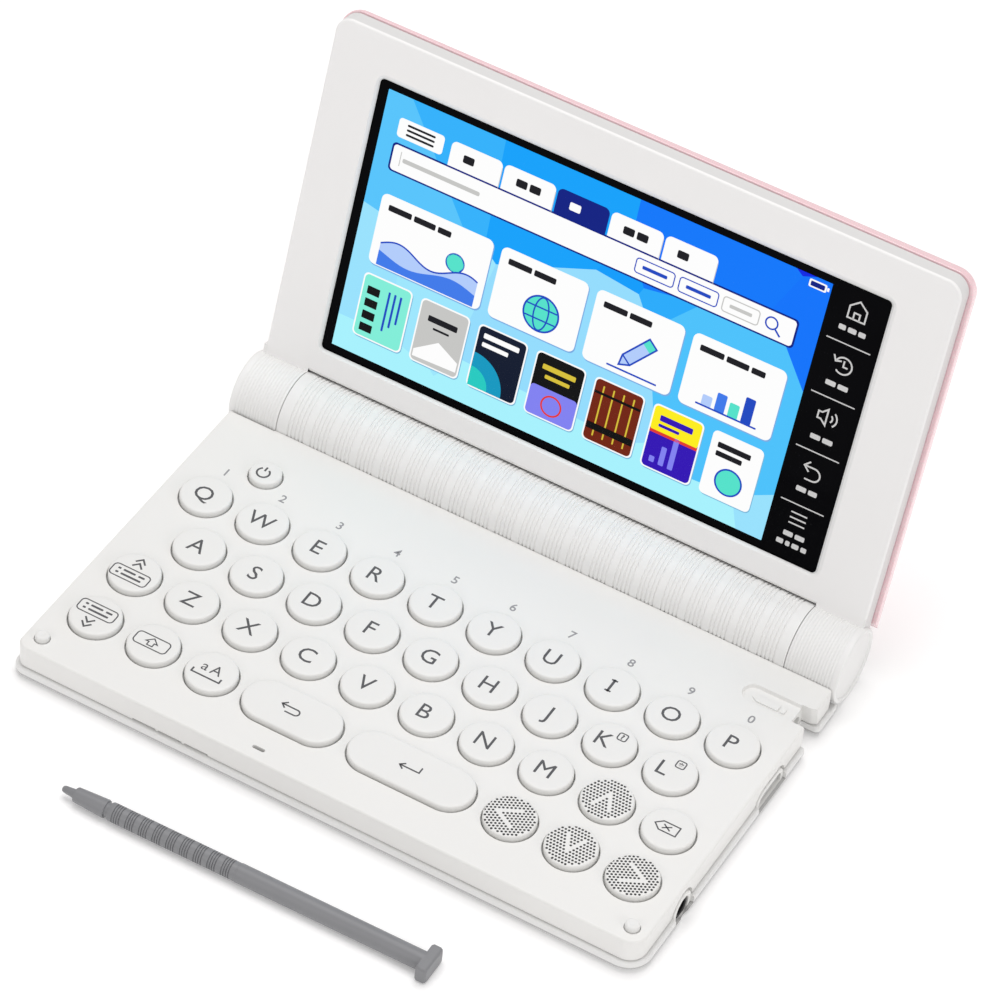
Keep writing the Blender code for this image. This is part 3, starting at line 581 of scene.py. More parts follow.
def tray_notch(further):
    """The notch from above, as an open corner: its rear edge turns away outside and lies further back below."""
    corner = ((80, 1.3), (74.2, 1.0), (73.9, 0.45), (73.4, 0.1), (72.9, 0.0), (notch_left, 0.0))
    front = ((notch_left, notch_y - notch_half), (80, notch_y - notch_half))
    return np.array(front + tuple((x, ledge + along + further) for x, along in corner))


notch_steps = ((1.4, -2), (1.2, 0), (0.5, 0.65), (0, lip_widest), (0, 7))
port_mouth = sideways(prism(stadium(port_y, port_z, 2.9, 3.15), 71.8, 76))
piece(
    "tray", raised(tray_path, lip_steps), lip_white_painted_shade, "base", ("bottom_cover",),
    joins=inner_rooms(0.3, 50, 3, 3, 0.5, 5),
    cuts=(
        *inner_rooms(1.3, 50, 2, 2, 1, 7),
        raised(tray_notch, notch_steps),
        rod(-80, 80, 8.9, hinge, 128),
        rod(66, 76, 2.7, jack_bore, 48),
        kept_above(rod(71.9, 73.5, 3.85, jack, 64), 0.4),
        kept_above(rod(73.4, 76, 3.9, jack, 64), line_level),
        kept_above(port_mouth, line_level),
        port_bay,
        box((-barrel_notch, 28, 1), (barrel_notch, 42, 4.3)),
    ),
)

# %% [markdown]
# ## The barrel
#
# The barrel is a tube of white plastic with fine grooves in groups of five. Grooves could be painted with a
# bump map, but they show against the deck as small dark notches, so they are cut into the outline here:
# the radius is a function of the place along the axis.

# %% A grooved radius
barrel_radius, bore_radius = 8.6, 7.45
door_half, window_half = 50.0, 50.3


def grooved(start, end, period, count, pitch, depth, phase=0.0):
    """(along, radius) pairs: the barrel's radius, less a small V at every groove of every group."""
    middles = []
    groups = np.arange(math.floor(start / period) - 1, math.ceil(end / period) + 2) * period + phase
    for group in groups:
        middles += list(group + (np.arange(count) - 0.5 * (count - 1)) * pitch)
    middles = np.array([value for value in middles if start + 0.45 < value < end - 0.45])
    steps = np.array((-0.23, -0.09, 0.09, 0.23))
    drops = np.array((0.0, depth, depth, 0.0))
    along = (middles[:, None] + steps).ravel()
    radius = np.tile(barrel_radius - drops, len(middles))
    return list(zip(along, radius))


housing_grooves = grooved(-61.5, 61.5, 5.72, 5, 0.93, 0.24)
print(len(housing_grooves) // 4, "grooves on the middle of the barrel")

# %% The barrel's middle and its battery door
door_low, door_high = math.radians(-80), math.radians(10)
spare = (window_half - door_half) / barrel_radius
housing_profile = [(-61.9, 8.38), (-61.84, 8.53), (-61.72, 8.6)] + housing_grooves
housing_profile += [(61.42, 8.6), (61.54, 8.53), (61.6, 8.38)]


def sector(start, end, inner, outer, low, high, steps=24):
    """A slice of a tube: an arc out and an arc back, pushed along X."""
    angle = np.linspace(low, high, steps + 1)
    out = np.column_stack((hinge[0] + outer * np.cos(angle), hinge[1] + outer * np.sin(angle)))
    back = np.column_stack((hinge[0] + inner * np.cos(angle), hinge[1] + inner * np.sin(angle)))[::-1]
    return sideways(prism(np.concatenate((out, back)), start, end))


pin_bores = [
    rod(*sorted((side * start, side * 64)), radius, hinge, 32)
    for side in (-1, 1)
    for start, radius in ((53.2, 2.9), (60.0, 3.7))
]
piece(
    "barrel_middle", solid(turned(housing_profile, hinge, 112)), barrel_white, "base",
    ("barrel_housing",),
    joins=[box((-50, 26.7, 1.3), (50, 41.89, 4.0))]
    + [box((low, 38.59, 0), (low + 12, 42.89, 1.2)) for low in (-57.01, 45.01)],
    cuts=[
        rod(-51.5, 51.5, bore_radius, hinge, 96),
        sector(-window_half, window_half, 3.0, 11.0, door_low - spare, door_high + spare),
        *pin_bores,
    ],
    angle=50,
)


def door_rings():
    """The door's slice of the barrel: the grooved radius outside and a plain one inside, as one loop."""
    end = [(door_half - 0.15, barrel_radius), (door_half, 8.45), (door_half, bore_radius)]
    profile = [(-along, radius) for along, radius in end[::-1]]
    profile += [pair for pair in housing_grooves if abs(pair[0]) < door_half - 0.4] + end
    return turned(profile, hinge, 40, door_low, door_high)


def slice_solid(rings):
    """A slice of a turned wall: the profile closes on itself, and both cut ends get a face."""
    rows, columns = rings.shape[:2]
    row = np.arange(rows)[:, None]
    column = np.arange(columns - 1)[None, :]
    here, there = row * columns + column, (row + 1) % rows * columns + column
    corners = (here, here + 1, there + 1, there)
    faces = np.stack(corners, axis=-1).reshape(-1, 4).tolist()
    faces += [list(range(0, rows * columns, columns)), list(range(columns - 1, rows * columns, columns))[::-1]]
    return rings.reshape(-1, 3), faces


piece(
    "battery_door_skin", slice_solid(door_rings()), barrel_white, "battery_door",
    ("battery_door",), angle=50,
)

# %% [markdown]
# ## The lid
#
# The lid is drawn lying flat in its own frame, with X along the hinge, Y up the lid and Z out of its face,
# and is then leaned back by turning those points about the hinge. Drawing it leaned from the start would
# need a sine and a cosine in every size.

# %% From the lid's frame to the table's
lean = math.radians(75.2)


def leaned(shape):
    """(u, v, w) of the lid: y = hinge + v cos(lean) - w sin(lean), z = hinge + v sin(lean) + w cos(lean)."""
    points, faces = shape
    u, v, w = np.asarray(points).T
    y = hinge[0] + v * math.cos(lean) - w * math.sin(lean)
    z = hinge[1] + v * math.sin(lean) + w * math.cos(lean)
    return np.column_stack((u, y, z)), faces


def lid_path(half, top, radius):
    """The lid's outline, as a function of its inset: square at the foot and round at the top."""
    return lambda inset: outline(
        inset - half, half - inset, lid_foot, top - inset, (radius - inset, radius - inset, 0.2, 0.2)
    )


def window_path(reach):
    """The opening over the glass. Its bevel reaches further out at the right and at the top."""
    corner = 1 + max(reach, 0)
    return outline(-60.3 - 0.5 * reach, 59.4 + reach, 15.1 - 0.4 * reach, 81.28 + reach, (corner,) * 4, 6)


face_level, back_level = -1.5, -5.5
face_half, face_top, lid_top, lid_foot = 72.6, 91.18, 92.38, 6
print("the lid stands", round(math.degrees(lean), 1), "degrees from the table")

# %% The white front frame
def depth_in_lid(place):
    """w of the lid, from the table's y and z: the lid's place is turned back about the hinge."""
    above, behind = place.part("Z") - hinge[1] * MM, place.part("Y") - hinge[0] * MM
    return above * math.cos(lean) - behind * math.sin(lean)


def frame_block():
    """The lid's path carried back from a rounded edge, with its left edge drawn in by half a millimetre."""
    rings = carried(lid_path(face_half, face_top, 3.2), bezel_steps)
    rings[..., 0] += np.where(rings[..., 0] < 0, 0.5, 0)
    rings[..., 1] -= np.where(rings[..., 1] > 50, 0.2, 0)
    return solid(rings)


# The frame's grey, wherever it lies more than half a millimetre behind its face, is painted shade on its side
# band.
frame_white_painted_shade = white_with_painted_shade(
    "frame_white_painted_shade", (0.89, 0.885, 0.88), (0.93, 0.925, 0.92), (0.74, 0.74, 0.735),
    depth_in_lid, face_level - 0.5, 0.44, 2600, 0.02,
)
bezel_steps = [(-0.6, back_level), (-0.52, -4.6), (-0.5, face_level - 0.55)] + round_over(-0.5, face_level, 0.5)
window_steps = ((0, -3.2), (0, -2.45), (0.1, -2.3), (1.15, -1.62), (1.35, -1.53), (1.6, -1.47), (2.0, -1.35))
half_foot = 61.8


def foot_path(grow):
    return np.array(((-half_foot, 0), (half_foot, 0), (half_foot, 8.8 + grow), (-half_foot, 8.8 + grow)))


frame_cuts = (
    rod(-half_foot, half_foot, barrel_radius + 0.45, (0, 0), 96),
    raised(foot_path, ((0.0, -1.95), (0.75, -1.5), (1.3, -1.2))),
    room(-71.2, 71.2, 13.3, 89.78, (3.2, 3.2, 0.2, 0.2), -8, -2.3),
    raised(window_path, window_steps),
    rod(-80, -half_foot, barrel_radius - 0.3, (0, 0), 96),
    rod(half_foot, 80, barrel_radius - 0.3, (0, 0), 96),
)
piece(
    "lid_frame", leaned(frame_block()), frame_white_painted_shade, "lid", ("lid_bezel",),
    cuts=[leaned(shape) for shape in frame_cuts],
)

# %% The two ends of the barrel, which turn with the lid
def knuckle_profile(start):
    grooves = grooved(start, 73.2, 0.72, 1, 0.72, 0.14, 0.3)
    rim = [(73.5, 8.6), (73.82, 8.48), (73.95, 8.2), (73.95, 7.8), (73.75, 7.6), (73.5, 7.5), (73.45, 7.3)]
    return [(start, 8.42), (start + 0.05, 8.53), (start + 0.16, 8.6)] + grooves + rim


for side, word, start in ((-1, "left", 62.02), (1, "right", 61.73)):
    profile = [(side * along, radius) for along, radius in knuckle_profile(start)]
    near, far = sorted((side * half_foot, side * 73.1))
    piece(
        f"knuckle_{word}", leaned(solid(turned(profile, (0, 0), 112))), barrel_white, "lid",
        ("lid_bezel",),
        joins=(leaned(box((near, 0, back_level), (far, 10.6, face_level - 0.02))),),
        cuts=(leaned(rod(*sorted((side * 60, side * 70.7)), 2.9, (0, 0), 32)),),
        angle=50,
    )

# %% The pink back shell
shell_steps = ((0.9, -8.5), (0.55, -8.42), (0.26, -8.22), (0.08, -7.92), (0, -7.6))
shell_steps += ((0, -6.05), (0.1, -5.85), (0.3, -5.8))


def shell_block():
    """The lid's path carried over a rounded back. Along its top the shell gets thinner towards the left."""
    rings = carried(lid_path(74.2, lid_top - 0.4, 5.0), shell_steps)
    rings[..., 0] += np.where(rings[..., 0] < 0, 0.7, 0.0)
    thinner = np.clip((70.0 - rings[..., 0]) / 70.0, 0, 1) * (rings[..., 1] > 60)
    rings[..., 2] += np.where(rings[..., 2] < -7, thinner, 0)
    return solid(rings)


shell_room = room(-71.6, 71.6, 13.3, 89.98, (3.8, 3.8, 0.2, 0.2), -7.5, -3)
piece(
    "pink_shell", leaned(shell_block()), cover_pink, "lid", ("lid_cover",),
    cuts=(leaned(shell_room), leaned(rod(-80, 80, barrel_radius + 1.1, (0, 0), 96))),
)

# %% [markdown]
# ## Flat shapes and letters
#
# Print is a film of ink on the real keys. Here each sign is a solid a few hundredths of a millimetre thick, so
# that it is still there when the meshes leave Blender. Signs are bands along a line or plain outlines. Letters
# come from Blender's own font: the text is made a mesh first, and is scaled by the height of a capital H.

# %% Bands, plates and arcs
def arc(x, y, radius, start, end, steps=20):
    """Points at one distance from a centre, from one angle in degrees to another."""
    angle = np.radians(np.linspace(start, end, steps + 1))
    return np.column_stack((x + radius * np.cos(angle), y + radius * np.sin(angle)))


def plate(path, level, thick=0.08):
    """A flat outline as a thin solid whose top lies at a level."""
    return prism(np.asarray(path, dtype=float), level - thick, level)


def band(path, width, level, closed=False, thick=0.08):
    """A ribbon along a line: each point goes half the width to both sides, along the mitre of its corner."""
    path = np.asarray(path, dtype=float)
    ahead = np.roll(path, -1, axis=0) - path
    if not closed:
        ahead[-1] = ahead[-2]
    ahead /= np.linalg.norm(ahead, axis=1, keepdims=True)
    back = np.roll(ahead, 1, axis=0)
    if not closed:
        back[0] = ahead[0]
    mitre = ahead + back
    mitre /= (mitre * ahead).sum(axis=1, keepdims=True)
    side = 0.5 * width * np.column_stack((-mitre[:, 1], mitre[:, 0]))
    rings = np.empty((len(path), 4, 3))
    rings[:, 0, :2] = rings[:, 1, :2] = path + side
    rings[:, 2, :2] = rings[:, 3, :2] = path - side
    rings[:, (0, 3), 2] = level - thick
    rings[:, (1, 2), 2] = level
    return solid(rings, loop=closed)


def rounded(left, right, low, high, radius, steps=5):
    return outline(left, right, low, high, (radius,) * 4, steps)


print("a ribbon round a square has", len(band(((0, 0), (1, 0), (1, 1), (0, 1)), 0.1, 0, True)[1]), "faces")


# %% Letters as thin solids
def font_mesh(text, weight):
    """A word in Blender's own font as points and faces, with its walls and its two faces joined."""
    curve = bpy.data.curves.new("letters", "FONT")
    curve.body = text
    curve.resolution_u = 3
    curve.offset = weight
    curve.extrude = 0.5
    item = bpy.data.objects.new("letters", curve)
    mesh = bpy.data.meshes.new_from_object(item)
    made = bmesh.new()
    made.from_mesh(mesh)
    bmesh.ops.remove_doubles(made, verts=made.verts, dist=1e-5)
    points = np.array([vertex.co[:] for vertex in made.verts])
    faces = [[vertex.index for vertex in face.verts] for face in made.faces]
    made.free()
    bpy.data.objects.remove(item)
    bpy.data.curves.remove(curve)
    bpy.data.meshes.remove(mesh)
    return points, faces


capital = np.ptp(font_mesh("H", 0.0)[0][:, 1])


def lettering(text, height, x, y, level, thick=0.08, weight=0.0):
    """A word centred on a place: its width about x, and half of a capital's height above and below y."""
    points, faces = font_mesh(text, weight)
    low, high = points.min(axis=0), points.max(axis=0)
    scale = height / capital
    across = x + (points[:, 0] - 0.5 * (low[0] + high[0])) * scale
    along = y + (points[:, 1] - 0.5 * capital) * scale
    return np.column_stack((across, along, level + (points[:, 2] - 0.5) * thick)), faces


print("a capital is", round(float(capital), 3), "of the font's size")

# %% [markdown]
# ## Keys
#
# The keys are round caps with flat tops and softly rounded rims. One profile carried round a circle makes a
# letter key, and round a longer path it makes the two wide keys. The four arrow keys cover the loudspeaker, so
# they are full of small holes, apart from a chevron that points their way. A picture of holes would do from
# afar. Real ones are cut here, down to a black disc just under the key's top, which also holds in a close
# view. The disc is painted shade: it stands for the darkness deep in the holes.

# %% The key caps
ink = key_top + 0.03
print_shift = -0.4


def key_cap(x, y, half_run, radius):
    """A flange, a straight wall, a rounded rim and a flat top that closes with a small inner ring."""
    steps = [(-0.55, 6.7), (-0.55, 7.3), (0, 7.3), (0, 9.5)]
    steps += round_over(0, key_top, 0.45, 6)[1:] + [(1.6, key_top), (0.6 * radius, key_top)]
    return puck(x, y, half_run, radius, steps, 96)


# %% The holes of an arrow key
tip_reach, chevron_length, sieve_margin = 2.4, 4.0, 0.36


def sieve(x, y, step_x, step_y, way):
    """Hole places: every second crossing of a grid inside a circle, less the two runs from the chevron's tip.

    The tip lies an even number of steps ahead of the middle. A run leaves it along the grid's diagonal, so it
    is where the steps back and aside are alike.
    """
    i, j = (part.ravel() for part in np.mgrid[-16:17, -16:17])
    even = (i + j) % 2 == 0
    across, along = i[even] * step_x, j[even] * step_y
    ahead, aside = (across * way[0] + along * way[1]), (across * way[1] - along * way[0])
    ahead_step, aside_step = (step_x, step_y) if way[0] else (step_y, step_x)
    tip = 2 * round(0.5 * tip_reach / ahead_step) * ahead_step
    steps_back = np.round((tip - ahead) / ahead_step)
    steps_aside = np.round(np.abs(aside) / aside_step)
    chevron = (steps_back == steps_aside) & (steps_back <= round(chevron_length / ahead_step))
    keep = (np.hypot(across, along) < key_radius - sieve_margin) & ~chevron
    return np.column_stack((x + across[keep], y + along[keep]))


def small_prisms(places, radius, low, high, sides=8):
    """Upright prisms on many places, as one shape."""
    return joined([puck(x, y, 0, radius, ((0, low), (0, high)), sides) for x, y in places])


arrow_ways = {
    "key_arrow_up": (0, 1),
    "key_arrow_down": (0, -1),
    "key_arrow_left": (-1, 0),
    "key_arrow_right": (1, 0),
}
# A black disc just under the holes of an arrow key: painted shade, which makes the holes look deep and dark.
shade_disc_steps = ((0.1, 9.3), (0, 9.4), (0, 9.86), (0.06, 9.92))
for name, (x, y, half_run, radius) in keys.items():
    cuts = []
    if name in arrow_ways:
        way = arrow_ways[name]
        step_x, step_y = (0.37, 0.82) if way[1] else (0.72, 0.41)
        holes = sieve(x - 0.15, y, step_x, step_y, way)
        cuts = [small_prisms(holes, 0.295, key_top - 0.26, key_top + 0.2)]
        piece(f"{name}_shade_disc", puck(x, y, 0, 5.4, shade_disc_steps, 48), black_plastic, name)
        print(name, "has", len(holes), "holes")
    piece(f"{name}_cap", key_cap(x, y, half_run, radius), key_white, name, (name,), cuts=cuts)

# %% [markdown]
# ## Signs on the keys
#
# Each letter is one piece on its own key, so that it goes down with the key. The wide keys and the two keys at
# the left edge carry plain signs: arrows, a bracket for the space key, small boxes with lines. A sign is drawn
# round the origin and then moved to its key.

# %% Signs drawn with bands
def inked(path, width, closed=False):
    return band(path, width, ink, closed)


def lined_box(x, y, width, height, radius):
    path = rounded(x - 0.5 * width, x + 0.5 * width, y - 0.5 * height, y + 0.5 * height, radius)
    return inked(path, 0.27, True)


def entry_sign(way):
    """A box with two lines of a list in it, and two nested chevrons beyond it."""
    middle = -1.3 * way
    bars = ((-3.2, -2.5, 0.38), (-1.9, 1.0, 0.38), (1.7, 3.2, 0.38), (-3.2, -2.5, -0.84), (-1.9, 2.9, -0.84))
    shapes = [lined_box(0, middle, 8.7, 3.4, 0.9)]
    shapes += [plate(rounded(a, b, middle + low, middle + low + 0.5, 0.15, 2), ink) for a, b, low in bars]
    for tip in (2.6 * way, 4.0 * way):
        foot = tip - 1.25 * way
        shapes.append(inked(((-1.15, foot), (0, tip), (1.15, foot)), 0.4))
    return shapes


def boxed_mark(x, y, mark, height):
    """A mark in a small box, scaled to a height of its own and centred by its own middle."""
    points, faces = lettering(mark, 1.0, 0.0, 0.0, ink, weight=0.03)
    low, high = points[:, :2].min(axis=0), points[:, :2].max(axis=0)
    points[:, :2] = (points[:, :2] - 0.5 * (low + high)) * height / (high[1] - low[1]) + (x, y)
    return [lined_box(x, y, 1.95, 2.0, 0.45), (points, faces)]


arrow = ((0, 1.15), (1.35, -0.1), (0.65, -0.1), (0.65, -1.05), (-0.65, -1.05), (-0.65, -0.1), (-1.35, -0.1))
tail = np.concatenate((((-2.3, 0.62),), arc(1.3, -0.2, 0.82, 90, -90, 10), ((-0.9, -1.02),)))
label = ((-2.7, 0), (-1.3, 1.3), (2.5, 1.3), (2.5, -1.3), (-1.3, -1.3))
bracket = ((-3.3, -0.9), (-3.3, -2.05), (3.3, -2.05), (3.3, -0.9))
drawn = {
    "entry_up": entry_sign(1),
    "entry_down": entry_sign(-1),
    "shift": [lined_box(0, 0, 7.8, 3.4, 0.9), inked(arrow, 0.26, True)],
    "space": [inked(bracket, 0.38), lettering("A", 2.5, 1.2, 0.7, ink), lettering("a", 2.5, -1.4, 0.7, ink)],
    "back": [inked(tail, 0.34), inked(((-1.35, 1.5), (-2.35, 0.62), (-1.35, -0.26)), 0.34)],
    "enter": [
        inked(((2.3, 1.2), (2.3, -0.35), (-2.1, -0.35)), 0.34),
        inked(((-1.15, 0.5), (-2.2, -0.35), (-1.15, -1.2)), 0.34),
    ],
    "delete": [inked(label, 0.3, True)] + [inked(((-0.9, -end), (0.9, end)), 0.3) for end in (0.6, -0.6)],
    "power": [inked(arc(0, -0.35, 1.4, 124, 416, 32), 0.42), inked(((0, 0.2), (0, 1.5)), 0.42)],
}
print(len(drawn), "drawn signs")

# %% A sign for every key
for letter in "qwertyuiopasdfghjklzxcvbnm":
    shift = {"k": -1.05, "l": -1.3}.get(letter, 0.0)
    drawn[letter] = [lettering(letter.upper(), 3.85, shift, 0.0, ink)]
drawn["i"] += [plate(rounded(-0.7, 0.7, low, low + 0.4, 0.05, 2), ink) for low in (-1.82, 1.42)]
drawn["k"] += boxed_mark(1.9, 2.6, "?", 1.45)
drawn["l"] += boxed_mark(1.4, 2.6, "*", 1.2)
for name, (x, y, half_run, radius) in keys.items():
    signs = drawn.get(name.removeprefix("key_"))
    if signs:
        points, faces = joined(signs)
        piece(f"{name}_print", (points + (x + print_shift, y, 0), faces), legend_grey, name)

# %% The digits on the deck
digit_rise = 9.05
digits = []
for digit, letter in zip("1234567890", "qwertyuiop"):
    x, y = keys[f"key_{letter}"][:2]
    digits.append(lettering(digit, 2.1, x + print_shift, y + digit_rise, deck_top + 0.02, weight=0.012))
piece("deck_digits", joined(digits), digit_grey, "base")
pen_tip = ((59.9, 22.9), (61.3, 23.7), (66.1, 23.7), (66.1, 22.1), (61.3, 22.1))
pen_end = rounded(66.6, 67.7, 22.1, 23.7, 0.2, 3)
recess_sign = joined([plate(path, 8.25, 0.4) for path in (pen_tip, pen_end)])
piece("recess_sign", recess_sign, deck_white, "base")

# %% [markdown]
# ## The picture on the display
#
# The touch panel is one black glass. Its display shows a menu: a blue ground of large facets, white cards with
# small drawings, a row of coloured tiles. An image would be the usual way. Here the menu is a pile of thin
# plates just over the glass, each with its own colour in a colour attribute that the material gives off as
# light, so that the whole picture is made of the same bands and outlines as the signs on the keys.

# %% Colours of the picture
picture_level = -2.5
layer = 0.03


def screen_colour(red, green, blue):
    """A display's colour from 0 to 255 as linear light: the value over 255, to the power of 2.2."""
    return tuple((np.array((red, green, blue)) / 255.0) ** 2.2)


navy = screen_colour(4, 32, 128)
ink_blue = screen_colour(32, 72, 190)
pale_blue = screen_colour(176, 202, 250)
teal = screen_colour(84, 224, 200)
white = screen_colour(252, 252, 252)
soft_grey = screen_colour(196, 196, 194)
dark = screen_colour(28, 28, 34)
gold = screen_colour(214, 190, 60)


def glowing(name, colour_of):
    """A display finish: black to the lamps, and a light of its own that a function of the place gives."""
    material, shader, place = new_finish(name, Emission_Strength=1.0, Specular_IOR_Level=0.1)
    shader.inputs["Base Color"].default_value = (0.0, 0.0, 0.0, 1)
    drive(shader, Emission_Color=colour_of(place), Roughness=0.16 + 0.1 * place.noise(400.0))
    return material


def facets(place):
    """Each cell of a Voronoi pattern takes one colour, by how far up and to the right its middle lies."""
    cells = place.node("ShaderNodeTexVoronoi", {"feature": "F1"}, {"Vector": place, "Scale": 34.0}, "Position")
    climb = (cells.part("Z") - 0.026) * 13.0 + (cells.part("X") + 0.006) * 3.4
    blues = (
        (0.0, 165, 240, 252), (0.3, 140, 212, 252), (0.5, 70, 190, 250),
        (0.66, 0, 158, 250), (0.82, 0, 100, 250), (0.96, 0, 40, 226),
    )
    stops = [(where, (*screen_colour(*blue), 1)) for where, *blue in blues]
    return climb.node("ShaderNodeValToRGB", {"stops": stops}, {0: climb})


def painted(place):
    return place.node("ShaderNodeAttribute", {"attribute_name": "tint"}, out="Color")


menu_ground = glowing("menu_ground", facets)
menu_paint = glowing("menu_paint", painted)
print("two display finishes")

# %% The pile of plates
menu = []


def paint(colour, *shapes):
    for shape in shapes:
        menu.append((shape, colour))


def sheet(depth, path):
    """A plate of the picture, so many layers over the ground."""
    return plate(path, picture_level + depth * layer, 1.5 * layer)


def leaf(depth, left, right, low, high, radius):
    return sheet(depth, rounded(left, right, low, high, radius, 5 if radius > 0.3 else 2))


def line(depth, path, width, closed=False):
    return band(path, width, picture_level + depth * layer, closed, 1.5 * layer)


def disc(depth, x, y, radius):
    return sheet(depth, arc(x, y, radius, 0, 360, 32)[:-1])


def ring(depth, x, y, radius, width, steps=32):
    return line(depth, arc(x, y, radius, 0, 360, steps)[:-1], width, True)


print("a disc has", len(disc(1, 0, 0, 1)[1]), "faces")

# %% Tabs, buttons and the entry field
tab_width, tab_low, tab_high = 12.2, 68.3, 74.5
for number in range(5):
    left = -41.6 + number * (tab_width + 0.5)
    right = left + tab_width
    front, mark = (navy, white) if number == 2 else (white, dark)
    paint(front, sheet(1, outline(left, right, tab_low, tab_high, (1.3, 1.3, 0.05, 0.05), 5)))
    paint(mark, *[leaf(2, left + a, left + a + 2.6, 70.6, 72.4, 0.3) for a in (3.2, 6.4)[: 1 + number % 2]])
    if front is white:
        paint(soft_grey, line(2, ((right, tab_low), (right, tab_high - 1.4)), 0.16))
paint(white, leaf(1, -54.3, -43.4, 70.0, 74.5, 0.8))
paint(dark, *[leaf(2, -52.2, -45.5, low, low + 0.5, 0.2) for low in (70.9, 72.0, 73.1)])
paint(navy, leaf(2, -54.6, 41.6, 61.8, 68.6, 1.0))
paint(white, leaf(3, -54.15, 41.15, 62.2, 68.2, 0.8))
paint(ink_blue, ring(4, 35.9, 65.5, 1.35, 0.36, 24), line(4, ((36.9, 64.5), (38.3, 63.2)), 0.42))
paint(soft_grey, leaf(4, -51.6, -33.0, 64.7, 65.7, 0.3), line(4, ((-52.2, 63.6), (-52.2, 67.0)), 0.2))
for left, right, colour in ((4.2, 13.2, ink_blue), (14.4, 23.4, ink_blue), (24.6, 33.0, soft_grey)):
    paint(colour, line(4, rounded(left, right, 63.5, 66.9, 0.7), 0.26, True))
    paint(colour, leaf(4, left + 1.6, right - 1.6, 64.8, 65.6, 0.2))
paint(white, leaf(1, 41.2, 45.2, 76.9, 78.7, 0.3), leaf(1, 45.3, 45.8, 77.4, 78.2, 0.1))
paint(navy, leaf(2, 41.6, 44.8, 77.25, 78.35, 0.15))
print(len(menu), "plates so far")


# %% Four cards with drawings
hill_blue = screen_colour(64, 120, 232)


def globe(x, y):
    """A disc with one upright oval and two level lines."""
    angle = np.radians(np.arange(0, 360, 12))
    oval = np.column_stack((x + 1.7 * np.cos(angle), y + 3.9 * np.sin(angle)))
    paint(teal, disc(3, x, y, 4.1))
    paint(ink_blue, ring(4, x, y, 4.1, 0.42, 40), line(4, oval, 0.34, True))
    paint(ink_blue, *[line(4, ((x - 3.6, y + rise), (x + 3.6, y + rise)), 0.34) for rise in (-1.4, 1.4)])


def hills(left, right, low):
    """A sun over two waves: each wave's height is a sine of the place across."""
    across = np.linspace(left, right, 40)
    far = np.column_stack((across, low + 5.2 + 1.4 * np.sin(across * 0.38 + 1.0)))
    near = np.column_stack((across, low + 2.9 + 1.1 * np.sin(across * 0.3 - 0.6)))
    floor = np.array(((right, low), (left, low)))
    paint(teal, disc(3, left + 17.5, low + 8.0, 2.1))
    paint(ink_blue, ring(3, left + 17.5, low + 8.0, 2.1, 0.36, 28))
    paint(pale_blue, sheet(4, np.concatenate((far, floor))))
    paint(ink_blue, line(5, far, 0.36))
    paint(hill_blue, sheet(6, np.concatenate((near, floor))))


def pencil(x, y):
    """A slanted bar with a point, an outline and a cap."""
    turn = math.radians(50)
    ahead, aside = np.array((math.cos(turn), math.sin(turn))), np.array((-math.sin(turn), math.cos(turn)))

    def slanted(*places):
        return [(x, y) + a * ahead + b * aside for a, b in places]

    body = slanted((-5.6, 0), (-3.4, 1.35), (4.4, 1.35), (4.4, -1.35), (-3.4, -1.35))
    paint(pale_blue, sheet(3, body))
    paint(teal, sheet(4, slanted((2.4, 1.35), (4.4, 1.35), (4.4, -1.35), (2.4, -1.35))))
    paint(ink_blue, line(5, body, 0.4, True), line(5, slanted((-3.4, 1.2), (-3.4, -1.2)), 0.34))
    paint(ink_blue, line(5, ((x - 6.2, y - 5.3), (x + 5.6, y - 5.3)), 0.4))


def columns(x, y):
    """Four upright bars on a line."""
    bars = ((pale_blue, 2.6), (hill_blue, 4.4), (teal, 3.4), (ink_blue, 6.2))
    for left, (colour, height) in zip(x - 6.0 + 3.1 * np.arange(4), bars):
        paint(colour, leaf(3, left, left + 2.3, y, y + height, 0.3))
    paint(ink_blue, line(4, ((x - 7.2, y), (x + 7.0, y)), 0.4))


card_low, card_high = 39.4, 56.4
cards = ((-54.3, -27.2), (-25.2, -4.4), (-2.4, 18.4), (20.4, 42.2))
for number, (left, right) in enumerate(cards):
    paint(screen_colour(120, 170, 225), leaf(1, left + 0.2, right + 0.25, card_low - 0.3, card_high - 0.2, 1.5))
    paint(white, leaf(2, left, right, card_low, card_high, 1.5))
    words = ((2.0, 7.6), (8.2, 13.4), (14.0, 17.2))[: 3 if number in (0, 3) else 2]
    paint(dark, *[leaf(3, left + a, left + b, card_high - 3.6, card_high - 2.2, 0.25) for a, b in words])
hills(cards[0][0] + 2.0, cards[0][1] - 1.6, card_low + 0.3)
globe(-13.4, card_low + 5.6)
pencil(9.6, card_low + 6.6)
columns(31.6, card_low + 1.6)
print(len(menu), "plates so far")

# %% Seven coloured tiles
tile_low, tile_high, tile_width, tile_pitch = 21.6, 37.0, 11.9, 14.05
mint, black = screen_colour(128, 236, 214), screen_colour(12, 12, 14)
violet, night = screen_colour(128, 128, 240), screen_colour(14, 26, 48)
yellow, indigo = screen_colour(252, 236, 30), screen_colour(52, 20, 178)
brown, red = screen_colour(112, 38, 18), screen_colour(222, 60, 50)
tile_grounds = (mint, soft_grey, night, black, brown, indigo, white)


def tile_left(number):
    return -54.3 + number * tile_pitch


for number, ground in enumerate(tile_grounds):
    left = tile_left(number)
    right = left + tile_width
    paint(screen_colour(120, 180, 215), leaf(1, left + 0.2, right + 0.2, tile_low - 0.25, tile_high - 0.2, 1.3))
    paint(white, leaf(2, left, right, tile_low, tile_high, 1.2))
    paint(ground, leaf(3, left + 0.35, right - 0.35, tile_low + 0.35, tile_high - 0.35, 1.0))
